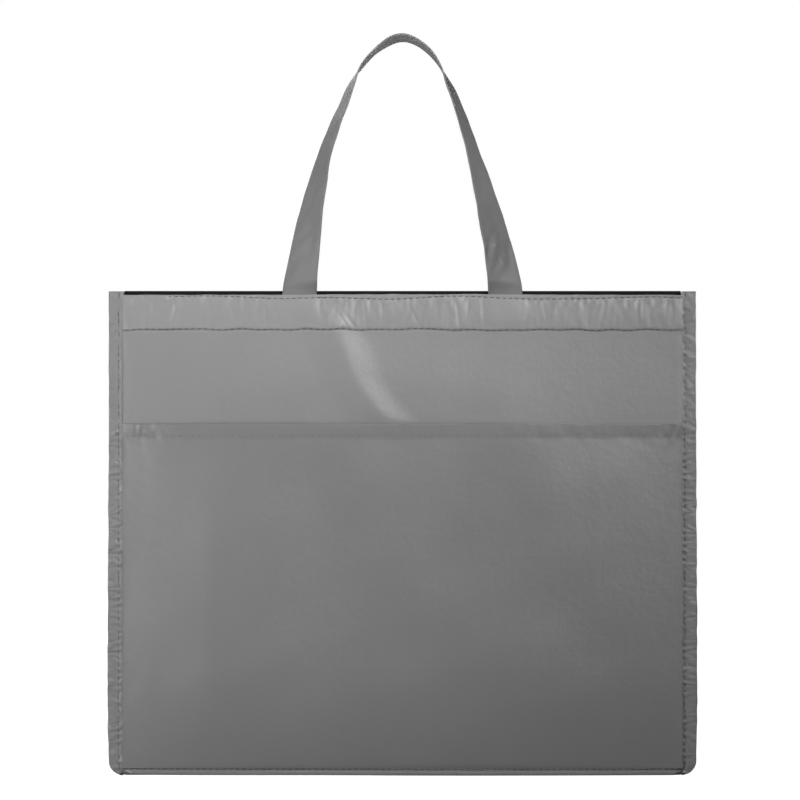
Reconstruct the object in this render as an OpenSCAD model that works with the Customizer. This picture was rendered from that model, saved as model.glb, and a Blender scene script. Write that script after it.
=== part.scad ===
// Insulated zip-top tote with a front slip pocket and two strap handles.
// Sizes are in millimetres. The origin is the centre of the underside.
// The front faces -Y, and +X is to the right of someone who looks at the front.

/* [Body] */
// Width over the two side bindings
body_w = 410; // [380:5:440]
// Depth over the front and back panels
body_d = 150; // [130:5:180]
// Height of the front and back walls
wall_h = 337; // [310:1:370]
// Height by which the side bindings stand above the walls
side_rise = 2.5; // [1:0.5:4]
// Radius of the two bottom corners in the front view
corner_r = 8; // [7:0.5:10]
// Radius inside the bend between a wall and the base
bend_r = 2; // [1:0.5:4]
// Thickness of the pinched seam along the front and back of the base
ridge_t = 1.6; // [1:0.1:2.5]
// Height to which the pinched base seam reaches
ridge_h = 7.2; // [7:0.1:9]
// Gap between the pinched base seam and the floor
ridge_lift = 0.4; // [0.2:0.1:1]

/* [Layers] */
// Thickness of the laminated outer fabric
shell_t = 0.6; // [0.5:0.05:0.7]
// Thickness of the insulating foam in the walls and the base
foam_t = 3; // [2:0.5:4]
// Thickness of the foil lining
lining_t = 0.4; // [0.3:0.05:0.5]
// Distance from the top of a wall down to the top of its foam and lining
wall_hem = 0.8; // [0.5:0.1:2]
// Thickness of the loose base board
board_t = 1.5; // [1:0.1:3]
// Gap between the base board and the lining all round
board_gap = 3; // [2.5:0.5:8]
// Radius of the base board's corners
board_r = 6; // [3:0.5:12]

/* [Bindings and bands] */
// Width of the binding on each side edge
binding_w = 9; // [8:0.5:11]
// Thickness of the binding tape
tape_t = 0.4; // [0.3:0.05:0.5]
// Height of the folded band along the top
band_h = 26.5; // [20:0.5:40]
// Thickness of the folded band at the front and back
band_t = 2; // [1.8:0.1:3]
// Thickness of the folded hem along the top of each side
side_hem_t = 0.8; // [0.5:0.1:1.5]

/* [Pocket] */
// Height of the pocket's top edge above the floor
pocket_top = 246; // [180:1:280]
// Room inside the pocket between its front and the body
pocket_room = 5.2; // [4.5:0.1:12]
// Thickness of the pocket's fabric
pocket_t = 0.8; // [0.5:0.05:1]
// Run over which the pocket's sides slope back to the body
pocket_side_run = 8; // [6:0.5:14]
// Run over which the pocket's bottom slopes back to the body
pocket_foot_run = 16; // [10:1:24]
// Height of the tape folded over the pocket's top edge
pocket_hem_h = 10; // [6:0.5:16]
// Thickness of the tape folded over the pocket's top edge
pocket_hem_t = 0.5; // [0.3:0.05:0.8]

/* [Handles] */
// Width of the strap
strap_w = 24; // [20:0.5:30]
// Thickness of the strap
strap_t = 1.2; // [0.8:0.05:1.4]
// Distance between the two ends of a strap, centre to centre
strap_pitch = 144; // [110:2:180]
// Height of a loop's centre line above its root
loop_h = 178; // [140:2:220]
// Length of strap sewn under the band
strap_tuck = 23; // [10:1:24]
// Angle from upright at which the back handle is stored
back_hang = 170; // [165:1:171]

/* [Lid flaps] */
// Thickness of a padded flap
flap_t = 2.5; // [2:0.1:4]
// Thickness of the flap's black cover
cover_t = 0.4; // [0.3:0.05:0.6]
// Distance by which the zip line lies below the top of the walls
flap_dip = 4.6; // [3:0.1:6]
// Gap between a flap's end and the side of the bag
flap_end_gap = 1.4; // [1:0.1:4]
// Gap between a flap's root and the wall
flap_root_gap = 0.3; // [0.3:0.05:0.5]

/* [Zip] */
// Width of the strip of zip tape that shows between the flaps
zip_window = 16; // [14:0.5:20]
// Width of tape sewn under each flap
tape_under = 6; // [4:0.5:12]
// Thickness of the zip tape
zip_tape_t = 0.6; // [0.4:0.05:0.8]
// Width of one coil of the zip
coil_w = 3; // [2:0.1:3.2]
// Height of the coil above its tape
coil_t = 1.6; // [1.2:0.1:2]
// Gap between the two coils, in which the slider's post runs
coil_gap = 1.5; // [1.4:0.05:2]
// Distance from the side of the bag to the open end of the coils
open_end = 45.4; // [40:0.2:60]
// Distance from the side of the bag to the closed end of the coils
closed_end = 25.4; // [22:0.2:40]
// Gap between the coils and the fabric tab at each end
tab_gap = 0.5; // [0.3:0.1:1]
// Length of the slider
slider_l = 13; // [10:0.5:16]
// Width of the slider
slider_w = 9.2; // [9:0.1:11]
// Thickness of the slider's two plates
plate_t = 0.9; // [0.7:0.05:1]
// Running gap between the slider and the zip
slider_gap = 0.35; // [0.3:0.05:0.4]
// Thickness of the slider's post
post_t = 0.8; // [0.6:0.05:0.8]
// Height of the slider's bail above its upper plate
bail_h = 3; // [2.8:0.1:3.4]
// Radius of the pull tab's pin
pin_r = 0.5; // [0.4:0.05:0.6]
// Length of the pull tab from its pin to its tip
pull_l = 26; // [16:1:30]
// Width of the pull tab
pull_w = 6.4; // [5.4:0.1:7]
// Thickness of the pull tab
pull_t = 1.2; // [0.8:0.1:1.4]

/* [Hidden] */
$fn = 48;

half_w = body_w / 2;
half_d = body_d / 2;
side_h = wall_h + side_rise;
wall_t = shell_t + foam_t + lining_t;
// Outer radius of the bend between a wall and the base
base_r = wall_t + bend_r;
// Distance from the middle to the outside of a gusset
gusset_x = half_w - binding_w;
// The joggled edges of the panels run this far in under the flat part
joggle = 1;
// Depth below the outer face at which each seam layer starts
panel_edge_at = tape_t;
gusset_edge_at = tape_t + shell_t;
inner_tape_at = tape_t + 2 * shell_t;
seam_t = 2 * tape_t + 2 * shell_t;
// Depth below the outer face at which the foam, the lining and the room inside start
foam_at = shell_t;
lining_at = shell_t + foam_t;
foam_gap = 0.4;
side_foam_x = gusset_x - shell_t;
inner_x = gusset_x - wall_t;
inner_y = half_d - wall_t;

// The flaps slope down from the walls to the zip line
flap_slope = atan(flap_dip / inner_y);
flap_run = inner_y / cos(flap_slope);
flap_x = side_foam_x - flap_end_gap;
flap_edge = flap_run - zip_window / 2;
zip_z = wall_h - flap_dip;
coil_out = flap_run - coil_gap / 2;
coil_in = coil_out - coil_w;
closed_x = side_foam_x - closed_end;
open_x = -(side_foam_x - open_end);
tab_w = zip_window - 2;

// The slider's plates clear the highest point of the coils and the lowest of the tapes
plate_low = min(zip_z, wall_h - coil_out * sin(flap_slope)) - zip_tape_t - slider_gap;
plate_high = wall_h - coil_in * sin(flap_slope) + coil_t + slider_gap;
slider_x = closed_x + tab_gap + 2 + slider_l / 2;
slider_park = open_x - tab_gap - 2 - slider_l / 2;
slider_side = 0.5;
bail_w = 2;
bail_l = 5;
pin_gap = 0.3;
ear_t = 1;
ear_r = 1.2;
pin_z = plate_high + plate_t + bail_h - pin_r - pin_gap - 0.4;
side_lining_h = plate_low - plate_t - foam_gap;

// Hinge line of each handle, just clear of the band
strap_gap = 0.3;
handle_y = half_d + band_t + strap_gap + strap_t / 2;
handle_z = wall_h + strap_gap + strap_t / 2;
strap_x = strap_pitch / 2;
strap_slot_gap = 0.3;
// Turn of the strap about its own line against the share of the loop's height,
// 0 where it is flat to the bag: [share, degrees]
front_twist = [[0, 0], [0.034, 5], [0.12, 27], [0.28, 42], [0.46, 57], [0.65, 69],
               [0.81, 77], [0.88, 86], [0.94, 97], [1, 106]];
back_twist = [[0, 0], [0.056, 6], [0.15, 18], [0.23, 36], [0.34, 58], [0.45, 71],
              [0.62, 78], [0.84, 86], [0.94, 97], [1, 106]];
arch_power = 1 / 1.2;
arch_steps = 48;

pocket_x = gusset_x - 0.5;
pocket_deep = pocket_room + pocket_t;
pocket_side_cut = pocket_t / sin(atan(pocket_deep / pocket_side_run));
pocket_foot_cut = pocket_t / sin(atan(pocket_deep / pocket_foot_run));

// Draws a flat outline of Y and Z as a solid from one X to another
module along_x(from, to)
    translate([from, 0, 0]) rotate([90, 0, 90]) linear_extrude(to - from) children();

// Draws a flat outline of X and Z as a solid from one Y to another
module along_y(from, to)
    translate([0, to, 0]) rotate([90, 0, 0]) linear_extrude(to - from) children();

// Draws its children once on each side of the middle
module both_sides() {
    children();
    mirror([1, 0, 0]) children();
}

// Side view of the body, drawn in by a depth below its outer face
module side_outline(depth, top) {
    intersection() {
        union() {
            translate([-(half_d - depth), base_r]) square([body_d - 2 * depth, top]);
            translate([-(half_d - base_r), depth]) square([body_d - 2 * base_r, base_r]);
            for (side = [-1, 1])
                translate([side * (half_d - base_r), base_r]) circle(r = base_r - depth);
        }
        translate([-half_d, 0]) square([body_d, top]);
    }
}

// A layer of the U that runs down the front, under the base and up the back
module u_layer(depth, thick, top) {
    difference() {
        side_outline(depth, top);
        side_outline(depth + thick, top + 1);
    }
}

// Front view of the body with its rounded bottom corners, drawn in by a distance
module front_outline(inset, top) {
    translate([-(half_w - inset), corner_r])
        square([body_w - 2 * inset, top - inset - corner_r]);
    translate([-(half_w - corner_r), inset]) square([body_w - 2 * corner_r, corner_r]);
    for (side = [-1, 1])
        translate([side * (half_w - corner_r), corner_r]) circle(r = corner_r - inset);
}

module front_block(inset, top)
    along_y(-half_d - 1, half_d + 1) front_outline(inset, top);

// Flat fabric of the front or back, with the edges that run under the bindings
module wall_panel() {
    translate([-gusset_x, -half_d, base_r])
        cube([2 * gusset_x, shell_t, wall_h - base_r]);
    intersection() {
        both_sides() translate([gusset_x - joggle, panel_edge_at - half_d, base_r])
            cube([half_w, shell_t, side_h - base_r]);
        front_block(tape_t, side_h);
    }
}

module front_panel() {
    color("#8a8a8a") wall_panel();
}

module back_panel() {
    color("#8a8a8a") mirror([0, 1, 0]) wall_panel();
}

// Fabric of the base with its bends up to the front and the back
module base_panel() {
    color("#868686") {
        along_x(-gusset_x, gusset_x) u_layer(0, shell_t, base_r);
        intersection() {
            both_sides() along_x(gusset_x - joggle, half_w)
                u_layer(panel_edge_at, shell_t, base_r);
            front_block(tape_t, side_h);
        }
    }
}

// Side fabric with its three edges turned out into the bound seam
module gusset() {
    along_x(gusset_x - shell_t, gusset_x) side_outline(gusset_edge_at, wall_h);
    intersection() {
        along_x(gusset_x - shell_t, half_w) u_layer(gusset_edge_at, shell_t, side_h);
        front_block(tape_t, side_h);
    }
}

module right_gusset() {
    color("#7e7e7e") gusset();
}

module left_gusset() {
    color("#7e7e7e") mirror([1, 0, 0]) gusset();
}

// Tape folded round the seam on three edges of a side
module binding() {
    difference() {
        intersection() {
            along_x(gusset_x, half_w) u_layer(0, seam_t, side_h);
            front_block(0, side_h);
        }
        intersection() {
            along_x(gusset_x - 1, half_w + 1)
                u_layer(tape_t, inner_tape_at - tape_t, side_h);
            front_block(tape_t, side_h);
        }
    }
}

module right_binding() {
    color("#777777") binding();
}

module left_binding() {
    color("#777777") mirror([1, 0, 0]) binding();
}

// Pinched and topstitched edge where the base meets a panel
module base_ridge()
    translate([-gusset_x, -half_d - ridge_t, ridge_lift])
        cube([2 * gusset_x, ridge_t, ridge_h - ridge_lift]);

module front_base_seam() {
    color("#6e6e6e") base_ridge();
}

module back_base_seam() {
    color("#6e6e6e") mirror([0, 1, 0]) base_ridge();
}

// A sheet inside a front or back wall, from the base bend to below the top edge
module wall_sheet(depth, thick, half_x)
    translate([-half_x, depth - half_d, base_r])
        cube([2 * half_x, thick, wall_h - wall_hem - base_r]);

module front_foam() {
    color("white") wall_sheet(foam_at, foam_t, side_foam_x - foam_gap);
}

module back_foam() {
    color("white") mirror([0, 1, 0]) wall_sheet(foam_at, foam_t, side_foam_x - foam_gap);
}

module base_foam() {
    color("white") along_x(foam_gap - side_foam_x, side_foam_x - foam_gap)
        u_layer(foam_at, foam_t, base_r);
}

module side_foam() {
    along_x(side_foam_x - foam_t, side_foam_x) side_outline(lining_at, side_lining_h);
}

module right_foam() {
    color("white") side_foam();
}

module left_foam() {
    color("white") mirror([1, 0, 0]) side_foam();
}

module front_lining() {
    color("silver") wall_sheet(lining_at, lining_t, inner_x);
}

module back_lining() {
    color("silver") mirror([0, 1, 0]) wall_sheet(lining_at, lining_t, inner_x);
}

module base_lining() {
    color("silver") along_x(-inner_x, inner_x) u_layer(lining_at, lining_t, base_r);
}

module side_lining() {
    along_x(inner_x, inner_x + lining_t) side_outline(lining_at, side_lining_h);
}

module right_lining() {
    color("silver") side_lining();
}

module left_lining() {
    color("silver") mirror([1, 0, 0]) side_lining();
}

// Loose board that keeps the base flat
module base_board() {
    board_x = inner_x - board_gap;
    board_y = inner_y - board_gap;
    color("#3a3a3a") translate([0, 0, wall_t]) {
        translate([-board_x, board_r - board_y, 0])
            cube([2 * board_x, 2 * (board_y - board_r), board_t]);
        translate([board_r - board_x, -board_y, 0])
            cube([2 * (board_x - board_r), 2 * board_y, board_t]);
        for (x = [-1, 1], y = [-1, 1])
            translate([x * (board_x - board_r), y * (board_y - board_r), 0])
                cylinder(h = board_t, r = board_r);
    }
}

// Outline of the pocket from above, measured from the body's front face
module pocket_plan(deep, half_x, run)
    polygon([[-half_x, 0], [run - half_x, -deep], [half_x - run, -deep], [half_x, 0]]);

// Outline of the pocket from the side
module pocket_side(deep, foot, run, top)
    polygon([[0, foot], [-deep, foot + run], [-deep, top], [0, top]]);

module pocket_block(deep, side_cut, foot_cut, top) {
    share = deep / pocket_deep;
    intersection() {
        translate([0, -half_d, 0]) linear_extrude(top)
            pocket_plan(deep, pocket_x - side_cut, pocket_side_run * share);
        translate([0, -half_d, 0]) along_x(-half_w, half_w)
            pocket_side(deep, ridge_h + foot_cut, pocket_foot_run * share, top);
    }
}

module front_pocket() {
    color("#7a7a7a") difference() {
        pocket_block(pocket_deep, 0, 0, pocket_top);
        pocket_block(pocket_room, pocket_side_cut, pocket_foot_cut, pocket_top + 1);
    }
}

// Tape folded over the pocket's top edge
module pocket_hem() {
    low = pocket_top - pocket_hem_h;
    color("#808080") difference() {
        translate([0, -half_d, low]) linear_extrude(pocket_hem_h + pocket_hem_t)
            pocket_plan(pocket_deep + pocket_hem_t, pocket_x, pocket_side_run);
        translate([0, -half_d, 0]) linear_extrude(pocket_top)
            pocket_plan(pocket_deep, pocket_x, pocket_side_run);
        translate([0, -half_d, 0]) linear_extrude(2 * pocket_top)
            pocket_plan(pocket_room, pocket_x - pocket_side_cut,
                        pocket_side_run * pocket_room / pocket_deep);
    }
}

// Folded band along a top edge, with a room for each strap end
module band() {
    difference() {
        translate([-pocket_x, -half_d - band_t, wall_h - band_h])
            cube([2 * pocket_x, band_t, band_h]);
        for (side = [-1, 1])
            translate([side * strap_x - strap_w / 2 - strap_slot_gap, -half_d - strap_t,
                       wall_h - strap_tuck - 1])
                cube([strap_w + 2 * strap_slot_gap, strap_t + 1, strap_tuck + 2]);
    }
}

module front_band() {
    color("#969696") band();
}

module back_band() {
    color("#969696") mirror([0, 1, 0]) band();
}

// Folded top edge of a side, between its two bindings
module side_hem() {
    hem_y = half_d - seam_t;
    translate([gusset_x, -hem_y, wall_h - band_h]) cube([side_hem_t, 2 * hem_y, band_h]);
}

module right_top_hem() {
    color("#8c8c8c") side_hem();
}

module left_top_hem() {
    color("#8c8c8c") mirror([1, 0, 0]) side_hem();
}

// The two sewn-in ends of a strap
module handle_ends() {
    for (side = [-1, 1])
        translate([side * strap_x - strap_w / 2, -half_d - strap_t, wall_h - strap_tuck])
            cube([strap_w, strap_t, strap_tuck]);
}

module front_handle_ends() {
    color("#707070") handle_ends();
}

module back_handle_ends() {
    color("#707070") mirror([0, 1, 0]) handle_ends();
}

// Centre line of a loop: turn runs from -90 at the left root to 90 at the right one
function arch_point(turn) =
    [strap_x * sin(turn), 0, loop_h * pow(cos(turn), 2 * arch_power)];

// Direction along the loop, straight up or down at the roots
function arch_along(turn) =
    abs(turn) > 89.9
    ? [0, 0, -sign(turn)]
    : let (rise = -2 * arch_power * loop_h * pow(cos(turn), 2 * arch_power - 1) * sin(turn),
           run = strap_x * cos(turn),
           long = sqrt(run * run + rise * rise))
      [run / long, 0, rise / long];

// The four corners of the strap's section at one point of the loop
function strap_ring(centre, along, twist) =
    let (out = [-along[2], 0, along[0]],
         wide = out * cos(twist) + [0, sin(twist), 0],
         face = out * sin(twist) - [0, cos(twist), 0])
    [for (corner = [[1, 1], [-1, 1], [-1, -1], [1, -1]])
        centre + wide * corner[0] * strap_w / 2 + face * corner[1] * strap_t / 2];

function loop_rings(twists) = concat(
    [strap_ring([-strap_x, 0, -strap_t / 2], [0, 0, 1], 0)],
    [for (step = [0 : arch_steps])
        let (turn = -90 + 180 * step / arch_steps, centre = arch_point(turn))
        strap_ring(centre, arch_along(turn), lookup(centre[2] / loop_h, twists))],
    [strap_ring([strap_x, 0, -strap_t / 2], [0, 0, -1], 0)]);

// A ribbon through a list of four-cornered rings
module ribbon(rings) {
    last = len(rings) - 1;
    polyhedron(
        points = [for (ring = rings) each ring],
        faces = concat(
            [[0, 1, 2, 3]],
            // Both wide faces are split along the same diagonal, so the strap keeps its thickness
            [for (i = [0 : last - 1], j = [0 : 3])
                let (a = 4 * i + j, b = 4 * i + (j + 1) % 4)
                each j == 2 ? [[a, a + 4, b], [b, a + 4, b + 4]]
                            : [[a, a + 4, b + 4], [a, b + 4, b]]],
            [[4 * last + 3, 4 * last + 2, 4 * last + 1, 4 * last]]));
}

module front_handle() {
    color("#737373") translate([0, -handle_y, handle_z]) ribbon(loop_rings(front_twist));
}

module back_handle() {
    color("#737373") mirror([0, 1, 0]) translate([0, -handle_y, handle_z])
        rotate([back_hang, 0, 0]) ribbon(loop_rings(back_twist));
}

// Draws its children along a flap: Y runs from the hinge to the zip, Z up from its underside
module on_flap()
    translate([0, -inner_y, wall_h]) rotate([-flap_slope, 0, 0]) children();

// A flat strip on a flap, from one X to another and between two distances from the hinge
module flap_strip(x_from, x_to, from, to, low, high)
    on_flap() translate([x_from, from, low]) cube([x_to - x_from, to - from, high - low]);

module flap_cover() {
    difference() {
        flap_strip(-flap_x, flap_x, flap_root_gap, flap_edge, lining_t, flap_t);
        flap_strip(cover_t - flap_x, flap_x - cover_t, flap_root_gap + cover_t,
                   flap_edge - cover_t, 0, flap_t - cover_t);
    }
}

module flap_foam()
    flap_strip(cover_t - flap_x, flap_x - cover_t, flap_root_gap + cover_t,
               flap_edge - cover_t, lining_t, flap_t - cover_t);

module flap_lining()
    flap_strip(-flap_x, flap_x, flap_root_gap, flap_edge, 0, lining_t);

module front_flap_cover() {
    color("#1c1c1c") flap_cover();
}

module back_flap_cover() {
    color("#1c1c1c") mirror([0, 1, 0]) flap_cover();
}

module front_flap_foam() {
    color("white") flap_foam();
}

module back_flap_foam() {
    color("white") mirror([0, 1, 0]) flap_foam();
}

module front_flap_lining() {
    color("silver") flap_lining();
}

module back_flap_lining() {
    color("silver") mirror([0, 1, 0]) flap_lining();
}

module zip_tape()
    flap_strip(open_x, closed_x, flap_edge - tape_under, coil_out, -zip_tape_t, 0);

module front_zip_tape() {
    color("#141414") zip_tape();
}

module back_zip_tape() {
    color("#141414") mirror([0, 1, 0]) zip_tape();
}

module zip_coil()
    flap_strip(open_x, closed_x, coil_in, coil_out, 0, coil_t);

module front_zip_coil() {
    color("#101010") zip_coil();
}

module back_zip_coil() {
    color("#101010") mirror([0, 1, 0]) zip_coil();
}

// Fabric tab that ties an end of the zip to the side, slotted for the slider's post
module end_tab(from, slot_to) {
    difference() {
        translate([from, -tab_w / 2, zip_z - zip_tape_t])
            cube([side_foam_x - from, tab_w, zip_tape_t]);
        translate([from - 1, -coil_gap / 2, zip_z - zip_tape_t - 1])
            cube([slot_to - from + 1, coil_gap, zip_tape_t + 2]);
    }
}

module zip_end_tabs() {
    color("#1a1a1a") {
        end_tab(closed_x + tab_gap, slider_x + slider_l / 2 + 1);
        mirror([1, 0, 0]) end_tab(tab_gap - open_x, slider_l / 2 + 1 - slider_park);
    }
}

// Slider with its two plates, the post between them, side walls and bail
module zip_slider() {
    color("#2b2b2b") translate([slider_x, 0, 0]) {
        translate([-slider_l / 2, -slider_w / 2, plate_low - plate_t])
            cube([slider_l, slider_w, plate_t]);
        translate([-slider_l / 2, -slider_w / 2, plate_high])
            cube([slider_l, slider_w, plate_t]);
        translate([slider_l / 2 - 3, -post_t / 2, plate_low])
            cube([2.5, post_t, plate_high - plate_low]);
        for (side = [0, 1]) mirror([0, side, 0])
            translate([-slider_l / 2, slider_w / 2 - slider_side, plate_high - 1.2])
                cube([slider_l, slider_side, 1.2]);
        difference() {
            translate([-bail_l / 2, -bail_w / 2, plate_high + plate_t])
                cube([bail_l, bail_w, bail_h]);
            translate([0, bail_w, pin_z]) rotate([90, 0, 0])
                cylinder(h = 2 * bail_w, r = pin_r + pin_gap);
        }
    }
}

// Pull tab with the two ears and the pin that swing in the slider's bail
module zip_pull() {
    ear_y = bail_w / 2 + pin_gap;
    tab_from = bail_l / 2 + pin_gap + 0.3;
    color("#262626") translate([slider_x, 0, pin_z]) {
        translate([0, ear_y + ear_t, 0]) rotate([90, 0, 0])
            cylinder(h = 2 * (ear_y + ear_t), r = pin_r);
        for (side = [0, 1]) mirror([0, side, 0]) {
            translate([0, ear_y + ear_t, 0]) rotate([90, 0, 0]) cylinder(h = ear_t, r = ear_r);
            translate([-tab_from - 1, ear_y, -pull_t / 2]) cube([tab_from + 1, ear_t, pull_t]);
        }
        translate([pull_w / 2 - pull_l, -pull_w / 2, -pull_t / 2])
            cube([pull_l - pull_w / 2 - tab_from, pull_w, pull_t]);
        translate([pull_w / 2 - pull_l, 0, -pull_t / 2]) cylinder(h = pull_t, r = pull_w / 2);
    }
}

front_panel();
back_panel();
base_panel();
left_gusset();
right_gusset();
front_base_seam();
back_base_seam();
left_binding();
right_binding();
front_foam();
back_foam();
base_foam();
left_foam();
right_foam();
front_lining();
back_lining();
base_lining();
left_lining();
right_lining();
base_board();
front_pocket();
pocket_hem();
front_band();
back_band();
left_top_hem();
right_top_hem();
front_handle_ends();
back_handle_ends();
front_handle();
back_handle();
front_flap_cover();
back_flap_cover();
front_flap_foam();
back_flap_foam();
front_flap_lining();
back_flap_lining();
front_zip_tape();
back_zip_tape();
front_zip_coil();
back_zip_coil();
zip_end_tabs();
zip_slider();
zip_pull();
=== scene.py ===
"""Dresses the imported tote: laminated fabric, bindings, straps, pocket, padded lid flaps and zip."""

import math

import bmesh
import bpy
import numpy as np
from mathutils import Matrix, Vector
from mathutils.bvhtree import BVHTree


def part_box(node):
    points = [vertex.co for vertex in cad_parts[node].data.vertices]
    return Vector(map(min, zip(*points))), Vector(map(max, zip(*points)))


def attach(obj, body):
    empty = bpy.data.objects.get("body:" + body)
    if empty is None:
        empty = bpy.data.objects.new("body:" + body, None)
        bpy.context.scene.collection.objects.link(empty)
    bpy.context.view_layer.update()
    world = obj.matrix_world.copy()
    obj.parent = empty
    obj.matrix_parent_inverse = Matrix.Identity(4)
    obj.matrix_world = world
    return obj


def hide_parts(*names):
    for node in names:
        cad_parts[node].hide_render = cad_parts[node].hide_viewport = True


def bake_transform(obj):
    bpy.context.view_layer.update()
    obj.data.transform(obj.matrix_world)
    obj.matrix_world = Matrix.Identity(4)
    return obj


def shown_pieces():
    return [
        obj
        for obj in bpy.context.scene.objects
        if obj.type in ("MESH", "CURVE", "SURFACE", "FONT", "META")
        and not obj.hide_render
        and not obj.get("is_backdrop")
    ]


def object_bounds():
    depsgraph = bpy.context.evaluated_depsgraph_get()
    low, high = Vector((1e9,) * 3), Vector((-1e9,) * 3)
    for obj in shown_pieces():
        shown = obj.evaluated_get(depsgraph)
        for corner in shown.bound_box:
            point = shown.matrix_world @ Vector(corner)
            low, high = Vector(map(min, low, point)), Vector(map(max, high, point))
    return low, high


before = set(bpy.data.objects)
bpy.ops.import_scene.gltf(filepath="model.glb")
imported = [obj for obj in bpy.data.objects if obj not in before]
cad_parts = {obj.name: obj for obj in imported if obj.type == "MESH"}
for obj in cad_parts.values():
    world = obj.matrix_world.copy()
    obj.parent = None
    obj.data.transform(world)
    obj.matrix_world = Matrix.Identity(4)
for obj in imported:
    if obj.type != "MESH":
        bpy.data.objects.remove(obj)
cad_low, cad_high = (list(corner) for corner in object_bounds())
MM = 0.001

# ---- Camera and image points -------------------------------------------------------------
# The photograph is a straight front view with no perspective to speak of. A long lens stands
# level with the middle of the frame, three metres off, and looks straight along +Y.
FRAME_PX = 800
IMAGE_XY = {
    "left_strap_root": (299.0, 288.0),
    "right_strap_root": (504.5, 288.0),
    "left_strap_edge_on": (359.0, 72.0),
    "right_strap_edge_on": (438.5, 66.0),
    "lid_line_left_end": (124.5, 292.5),
    "lid_line_right_end": (681.0, 292.5),
    "band_upper_stitches": (402.0, 298.0),
    "band_lower_stitches": (402.0, 329.0),
    "pocket_top_edge": (402.0, 426.0),
    "left_binding_stitches": (118.3, 600.0),
    "right_binding_stitches": (684.5, 600.0),
    "base_topstitches": (402.0, 769.8),
}
PX = 0.6985 * MM
MIDDLE_COLUMN = 402.5
FLOOR_ROW = 776.5
camera_data = bpy.data.cameras.new("photo_camera")
camera_data.sensor_fit = "AUTO"
camera_data.sensor_width = 36.0
camera_distance = 3.0
front_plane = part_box("pocket_hem")[0].y
camera_data.lens = camera_data.sensor_width * camera_distance / (FRAME_PX * PX)
camera_data.clip_end = 60.0


def put_in(name, data):
    """A new object in the scene."""
    made = bpy.data.objects.new(name, data)
    bpy.context.scene.collection.objects.link(made)
    return made


camera = put_in("photo_camera", camera_data)
bpy.context.scene.camera = camera
camera.location = (
    (FRAME_PX / 2 - MIDDLE_COLUMN) * PX,
    front_plane - camera_distance,
    (FLOOR_ROW - FRAME_PX / 2) * PX,
)
camera.rotation_euler = (math.radians(90), 0, 0)
bpy.context.view_layer.update()


def ray_to(point):
    """Start and direction of the camera's ray through an image point."""
    x, y = point
    reach = FRAME_PX
    aim = Vector((
        x - FRAME_PX / 2 + camera_data.shift_x * reach,
        FRAME_PX / 2 - y + camera_data.shift_y * reach,
        -reach * camera_data.lens / camera_data.sensor_width,
    ))
    turn = camera.matrix_world.to_3x3()
    return camera.matrix_world.translation, (turn @ aim).normalized()


def spot_on(point, carrier):
    """Place where an image point falls on a finished piece, or the place nearest the ray."""
    start, along = ray_to(point)
    tree = BVHTree.FromObject(carrier, bpy.context.evaluated_depsgraph_get())
    hit = tree.ray_cast(start, along)[0]
    if hit is not None:
        return hit
    # The bag lies within 0.4 m of the plane that the camera's distance reaches
    reaches = np.arange(camera_distance - 0.4, camera_distance + 0.4, 2 * MM)
    return min((tree.find_nearest(start + along * float(reach)) for reach in reaches),
               key=lambda found: found[3])[0]


def seen_at(places):
    """Image x and y of places in the frame, as the camera shows them."""
    flat = camera.matrix_world.inverted()
    scale = FRAME_PX * camera_data.lens / camera_data.sensor_width
    found = []
    for place in places:
        local = flat @ Vector(place)
        found.append((
            FRAME_PX / 2 - scale * local.x / local.z - camera_data.shift_x * FRAME_PX,
            FRAME_PX / 2 + scale * local.y / local.z + camera_data.shift_y * FRAME_PX,
        ))
    return np.array(found)


# ---- Floor, lights and the way surfaces are finished ---------------------------------------
# A pale floor and soft boxes: the key stands high in front on the right and draws the highlight
# on the fold, weaker ones light the left, the underside of the strap, the sides and the back.
class Shade:
    """One shader socket. Sums written on it add Math nodes, and node() adds any other node."""

    def __init__(self, tree, socket=None):
        self.tree = tree
        self.socket = socket

    def node(self, kind, settings=None, sockets=None, output=0):
        """Adds a node: its settings first, then the values or links of its sockets."""
        made = self.tree.nodes.new(kind)
        for name, value in (settings or {}).items():
            setattr(made, name, value)
        for name, value in (sockets or {}).items():
            if isinstance(value, Shade):
                self.tree.links.new(value.socket, made.inputs[name])
            else:
                made.inputs[name].default_value = value
        return None if output is None else Shade(self.tree, made.outputs[output])

    def sums(self, operation, first, second):
        return self.node("ShaderNodeMath", {"operation": operation}, {0: first, 1: second})

    def __add__(self, other):
        return self.sums("ADD", self, other)

    def __mul__(self, other):
        return self.sums("MULTIPLY", self, other)

    __radd__ = __add__
    __rmul__ = __mul__

    def mix(self, first, second):
        """A colour between two, this value being the share of the second."""
        return self.node("ShaderNodeMix", {"data_type": "RGBA"},
                         {0: self, 6: first, 7: second}, output=2)

    def fade(self, low, high):
        """This value from 0 at low to 1 at high, with soft ends."""
        return self.node("ShaderNodeMapRange", {"interpolation_type": "SMOOTHSTEP"},
                         {0: self, 1: low, 2: high, 3: 0.0, 4: 1.0})


def grey(tone, warm=0.0):
    """A near-neutral linear colour of that tone."""
    return (tone * (1 + warm), tone, tone * (1 - warm), 1.0)


def finish(name):
    """A new empty material, the sheet on which its nodes are drawn, and Object coordinates."""
    material = bpy.data.materials.new(name)
    material.use_nodes = True
    material.node_tree.nodes.clear()
    draw = Shade(material.node_tree)
    return material, draw, draw.node("ShaderNodeTexCoord", None, None, "Object")


def surface(draw, colour, roughness, bump=None, constants=None):
    """Ends a material in one Principled shader: constants go on its own sockets."""
    sockets = {"Base Color": colour, "Roughness": roughness, **(constants or {})}
    if bump is not None:
        sockets["Normal"] = bump
    shader = draw.node("ShaderNodeBsdfPrincipled", None, sockets)
    draw.node("ShaderNodeOutputMaterial", None, {0: shader}, output=None)


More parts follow.
